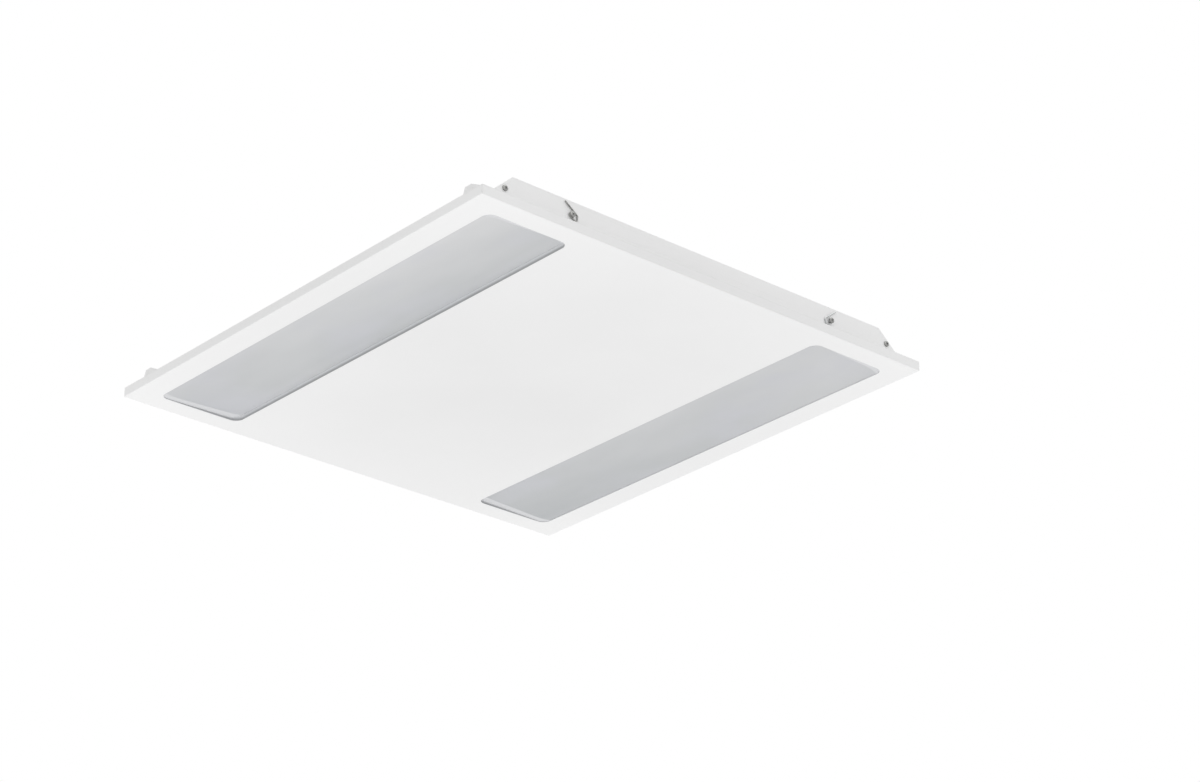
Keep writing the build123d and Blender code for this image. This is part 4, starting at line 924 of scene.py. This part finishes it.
rivetNut = {
    "Flange Radius": 5.5 * mm, "Flange Height": 1.0 * mm, "Flange Drop": 0.6, "Flange Sides": 48,
    "Body Radius": 3.3 * mm, "Body Length": 12.0 * mm, "Body Sides": 40,
    "Bore Radius": 2.5 * mm, "Bore Sides": 32,
    "Bulge Radius": 4.4 * mm, "Bulge Height": 2.2 * mm, "Bulge Fit": 0.95, "Sheet": 0.7 * mm,
    "Ribs": 20, "Rib Width": 0.35 * mm, "Rib Length": 0.55, "Rib Middle": -0.65, "Seed": 7,
}


# a flanged, bored nut with ribs round its body and the bulge that grips the sheet; z = 0 is under the flange
def buildRivetNutTree():
    tree, inputs = openTree("RivetNut", rivetNut)
    flangeHeight, radius, length = inputs["Flange Height"], inputs["Body Radius"], inputs["Body Length"]
    drop = times(tree, flangeHeight, inputs["Flange Drop"])
    flange = crowned(tree, inputs["Flange Radius"], flangeHeight, drop, inputs["Flange Sides"])
    body = standing(tree, radius, length, inputs["Body Sides"], -1.0)
    bulgeLow = times(tree, plus(tree, inputs["Bulge Height"], inputs["Sheet"]), -1.0)
    bulge = frustum(tree, times(tree, radius, inputs["Bulge Fit"]), inputs["Bulge Radius"],
                    inputs["Bulge Height"], inputs["Body Sides"], bulgeLow)
    drill = cylinder(tree, inputs["Bore Radius"], times(tree, length, 3.0), inputs["Bore Sides"])
    bored = combine(tree, "DIFFERENCE", combine(tree, "UNION", flange, body, bulge), drill)
    ring = put(tree, "GeometryNodeCurvePrimitiveCircle", {"Resolution": 64, "Radius": radius}).outputs[0]
    places = put(tree, "GeometryNodeCurveToPoints", {"Curve": ring, "Count": inputs["Ribs"]}).outputs[0]
    rib = block(tree, inputs["Rib Width"], inputs["Rib Width"], times(tree, length, inputs["Rib Length"]))
    ribs = put(tree, "GeometryNodeInstanceOnPoints", {"Points": places, "Instance": rib}).outputs[0]
    lowered = shifted(tree, ribs, times(tree, length, inputs["Rib Middle"]))
    return closeTree(tree, inputs, joined(tree, bored, lowered))


rivetNutTree = buildRivetNutTree()
threadHalf = middle("suspension_nuts")[1]
threadCorners = corners(threadHalf.x - rivetNut["Flange Radius"], threadHalf.y - rivetNut["Flange Radius"])
grow("suspension_nuts_set", rivetNutTree, atHeight(threadCorners, backTop), rivetNut, ["plated_steel"],
     "suspension_nuts")

# at the photograph's angle, looking up at the face
cameraLook = {
    "azimuth": -41.809, "elevation": -25.010, "roll": -0.527, "distance": 3.377,
    "side": 0.0852, "up": -0.0072, "lens": 95.862, "sensor": 36.0, "clipStart": 0.05,
}


def aimCamera(look):
    az, el, roll = (math.radians(look[key]) for key in ("azimuth", "elevation", "roll"))
    back = Vector((math.sin(az) * math.cos(el), -math.cos(az) * math.cos(el), math.sin(el)))
    right = Vector((math.cos(az), math.sin(az), 0.0))
    above = back.cross(right)
    tiltedRight = right * math.cos(roll) + above * math.sin(roll)
    tiltedUp = above * math.cos(roll) - right * math.sin(roll)
    place = back * look["distance"] + tiltedRight * look["side"] + tiltedUp * look["up"]
    data = bpy.data.cameras.new("Camera")
    data.lens = look["lens"]
    data.sensor_width = look["sensor"]
    data.clip_start = look["clipStart"]
    camera = bpy.data.objects.new("Camera", data)
    turn = Matrix((tiltedRight, tiltedUp, back)).transposed().to_4x4()
    camera.matrix_world = Matrix.Translation(place) @ turn
    bpy.context.scene.collection.objects.link(camera)
    bpy.context.scene.camera = camera


aimCamera(cameraLook)

# a pale floor well below the ceiling piece, white surroundings, and large soft lamps
stageLook = {
    "floorHeight": -4.0, "floorSize": 40.0, "light": paint(240, 240, 240), "dark": paint(238, 238, 238),
    "mottle": 3.0, "floorRough": 0.9, "floorGlow": 0.75, "worldStrength": 0.75,
}
lamps = {
    "under": {"place": (-0.55, 0.1, -2.95), "size": 3.4, "power": 38.5},
    "over": {"place": (0.8, -1.2, 2.6), "size": 2.6, "power": 20.0},
}


def layFloor(look):
    half = look["floorSize"] / 2
    mesh = bpy.data.meshes.new("floor")
    edges = [(-half, -half), (half, -half), (half, half), (-half, half)]
    mesh.from_pydata([(x, y, look["floorHeight"]) for x, y in edges], [], [(0, 1, 2, 3)])
    floor = bpy.data.objects.new("floor", mesh)
    bpy.context.scene.collection.objects.link(floor)
    finish, tree, shader, place = newFinish("pale_floor")
    shader.inputs["Roughness"].default_value = look["floorRough"]
    tree.links.new(tones(tree, noise(tree, place, look["mottle"], 3.0), look), shader.inputs["Base Color"])
    glow = put(tree, "ShaderNodeEmission", {"Strength": 1.0}).outputs[0]
    seen = put(tree, "ShaderNodeLightPath").outputs["Is Camera Ray"]
    values = {0: times(tree, seen, look["floorGlow"]), 1: shader.outputs[0], 2: glow}
    mixed = put(tree, "ShaderNodeMixShader", values).outputs[0]
    tree.links.new(mixed, tree.nodes["Material Output"].inputs["Surface"])
    mesh.materials.append(finish)


# soft light all round, and white where it is seen straight, in a reflection or through a lens
def buildWorld(look):
    world = bpy.data.worlds.new("studio")
    bpy.context.scene.world = world
    world.use_nodes = True
    tree = world.node_tree
    white = (1.0, 1.0, 1.0, 1.0)
    ambient = tree.nodes["Background"]
    ambient.inputs["Color"].default_value = white
    ambient.inputs["Strength"].default_value = look["worldStrength"]
    bright = put(tree, "ShaderNodeBackground", {"Color": white, "Strength": 1.0}).outputs[0]
    path = put(tree, "ShaderNodeLightPath").outputs
    direct = calc(tree, "MAXIMUM", path["Is Camera Ray"], path["Is Glossy Ray"])
    shown = calc(tree, "MAXIMUM", direct, path["Is Transmission Ray"])
    mixed = put(tree, "ShaderNodeMixShader", {0: shown, 1: ambient.outputs[0], 2: bright}).outputs[0]
    tree.links.new(mixed, tree.nodes["World Output"].inputs["Surface"])


def hangLamps(boxes):
    for name, box in boxes.items():
        data = bpy.data.lights.new(name, "AREA")
        data.shape = "SQUARE"
        data.size = box["size"]
        data.energy = box["power"]
        lamp = bpy.data.objects.new(name, data)
        place = Vector(box["place"])
        lamp.matrix_world = Matrix.Translation(place) @ place.to_track_quat("Z", "Y").to_matrix().to_4x4()
        bpy.context.scene.collection.objects.link(lamp)


layFloor(stageLook)
buildWorld(stageLook)
hangLamps(lamps)
bpy.context.scene.view_settings.view_transform = "Standard"
print("camera, floor and lamps set")
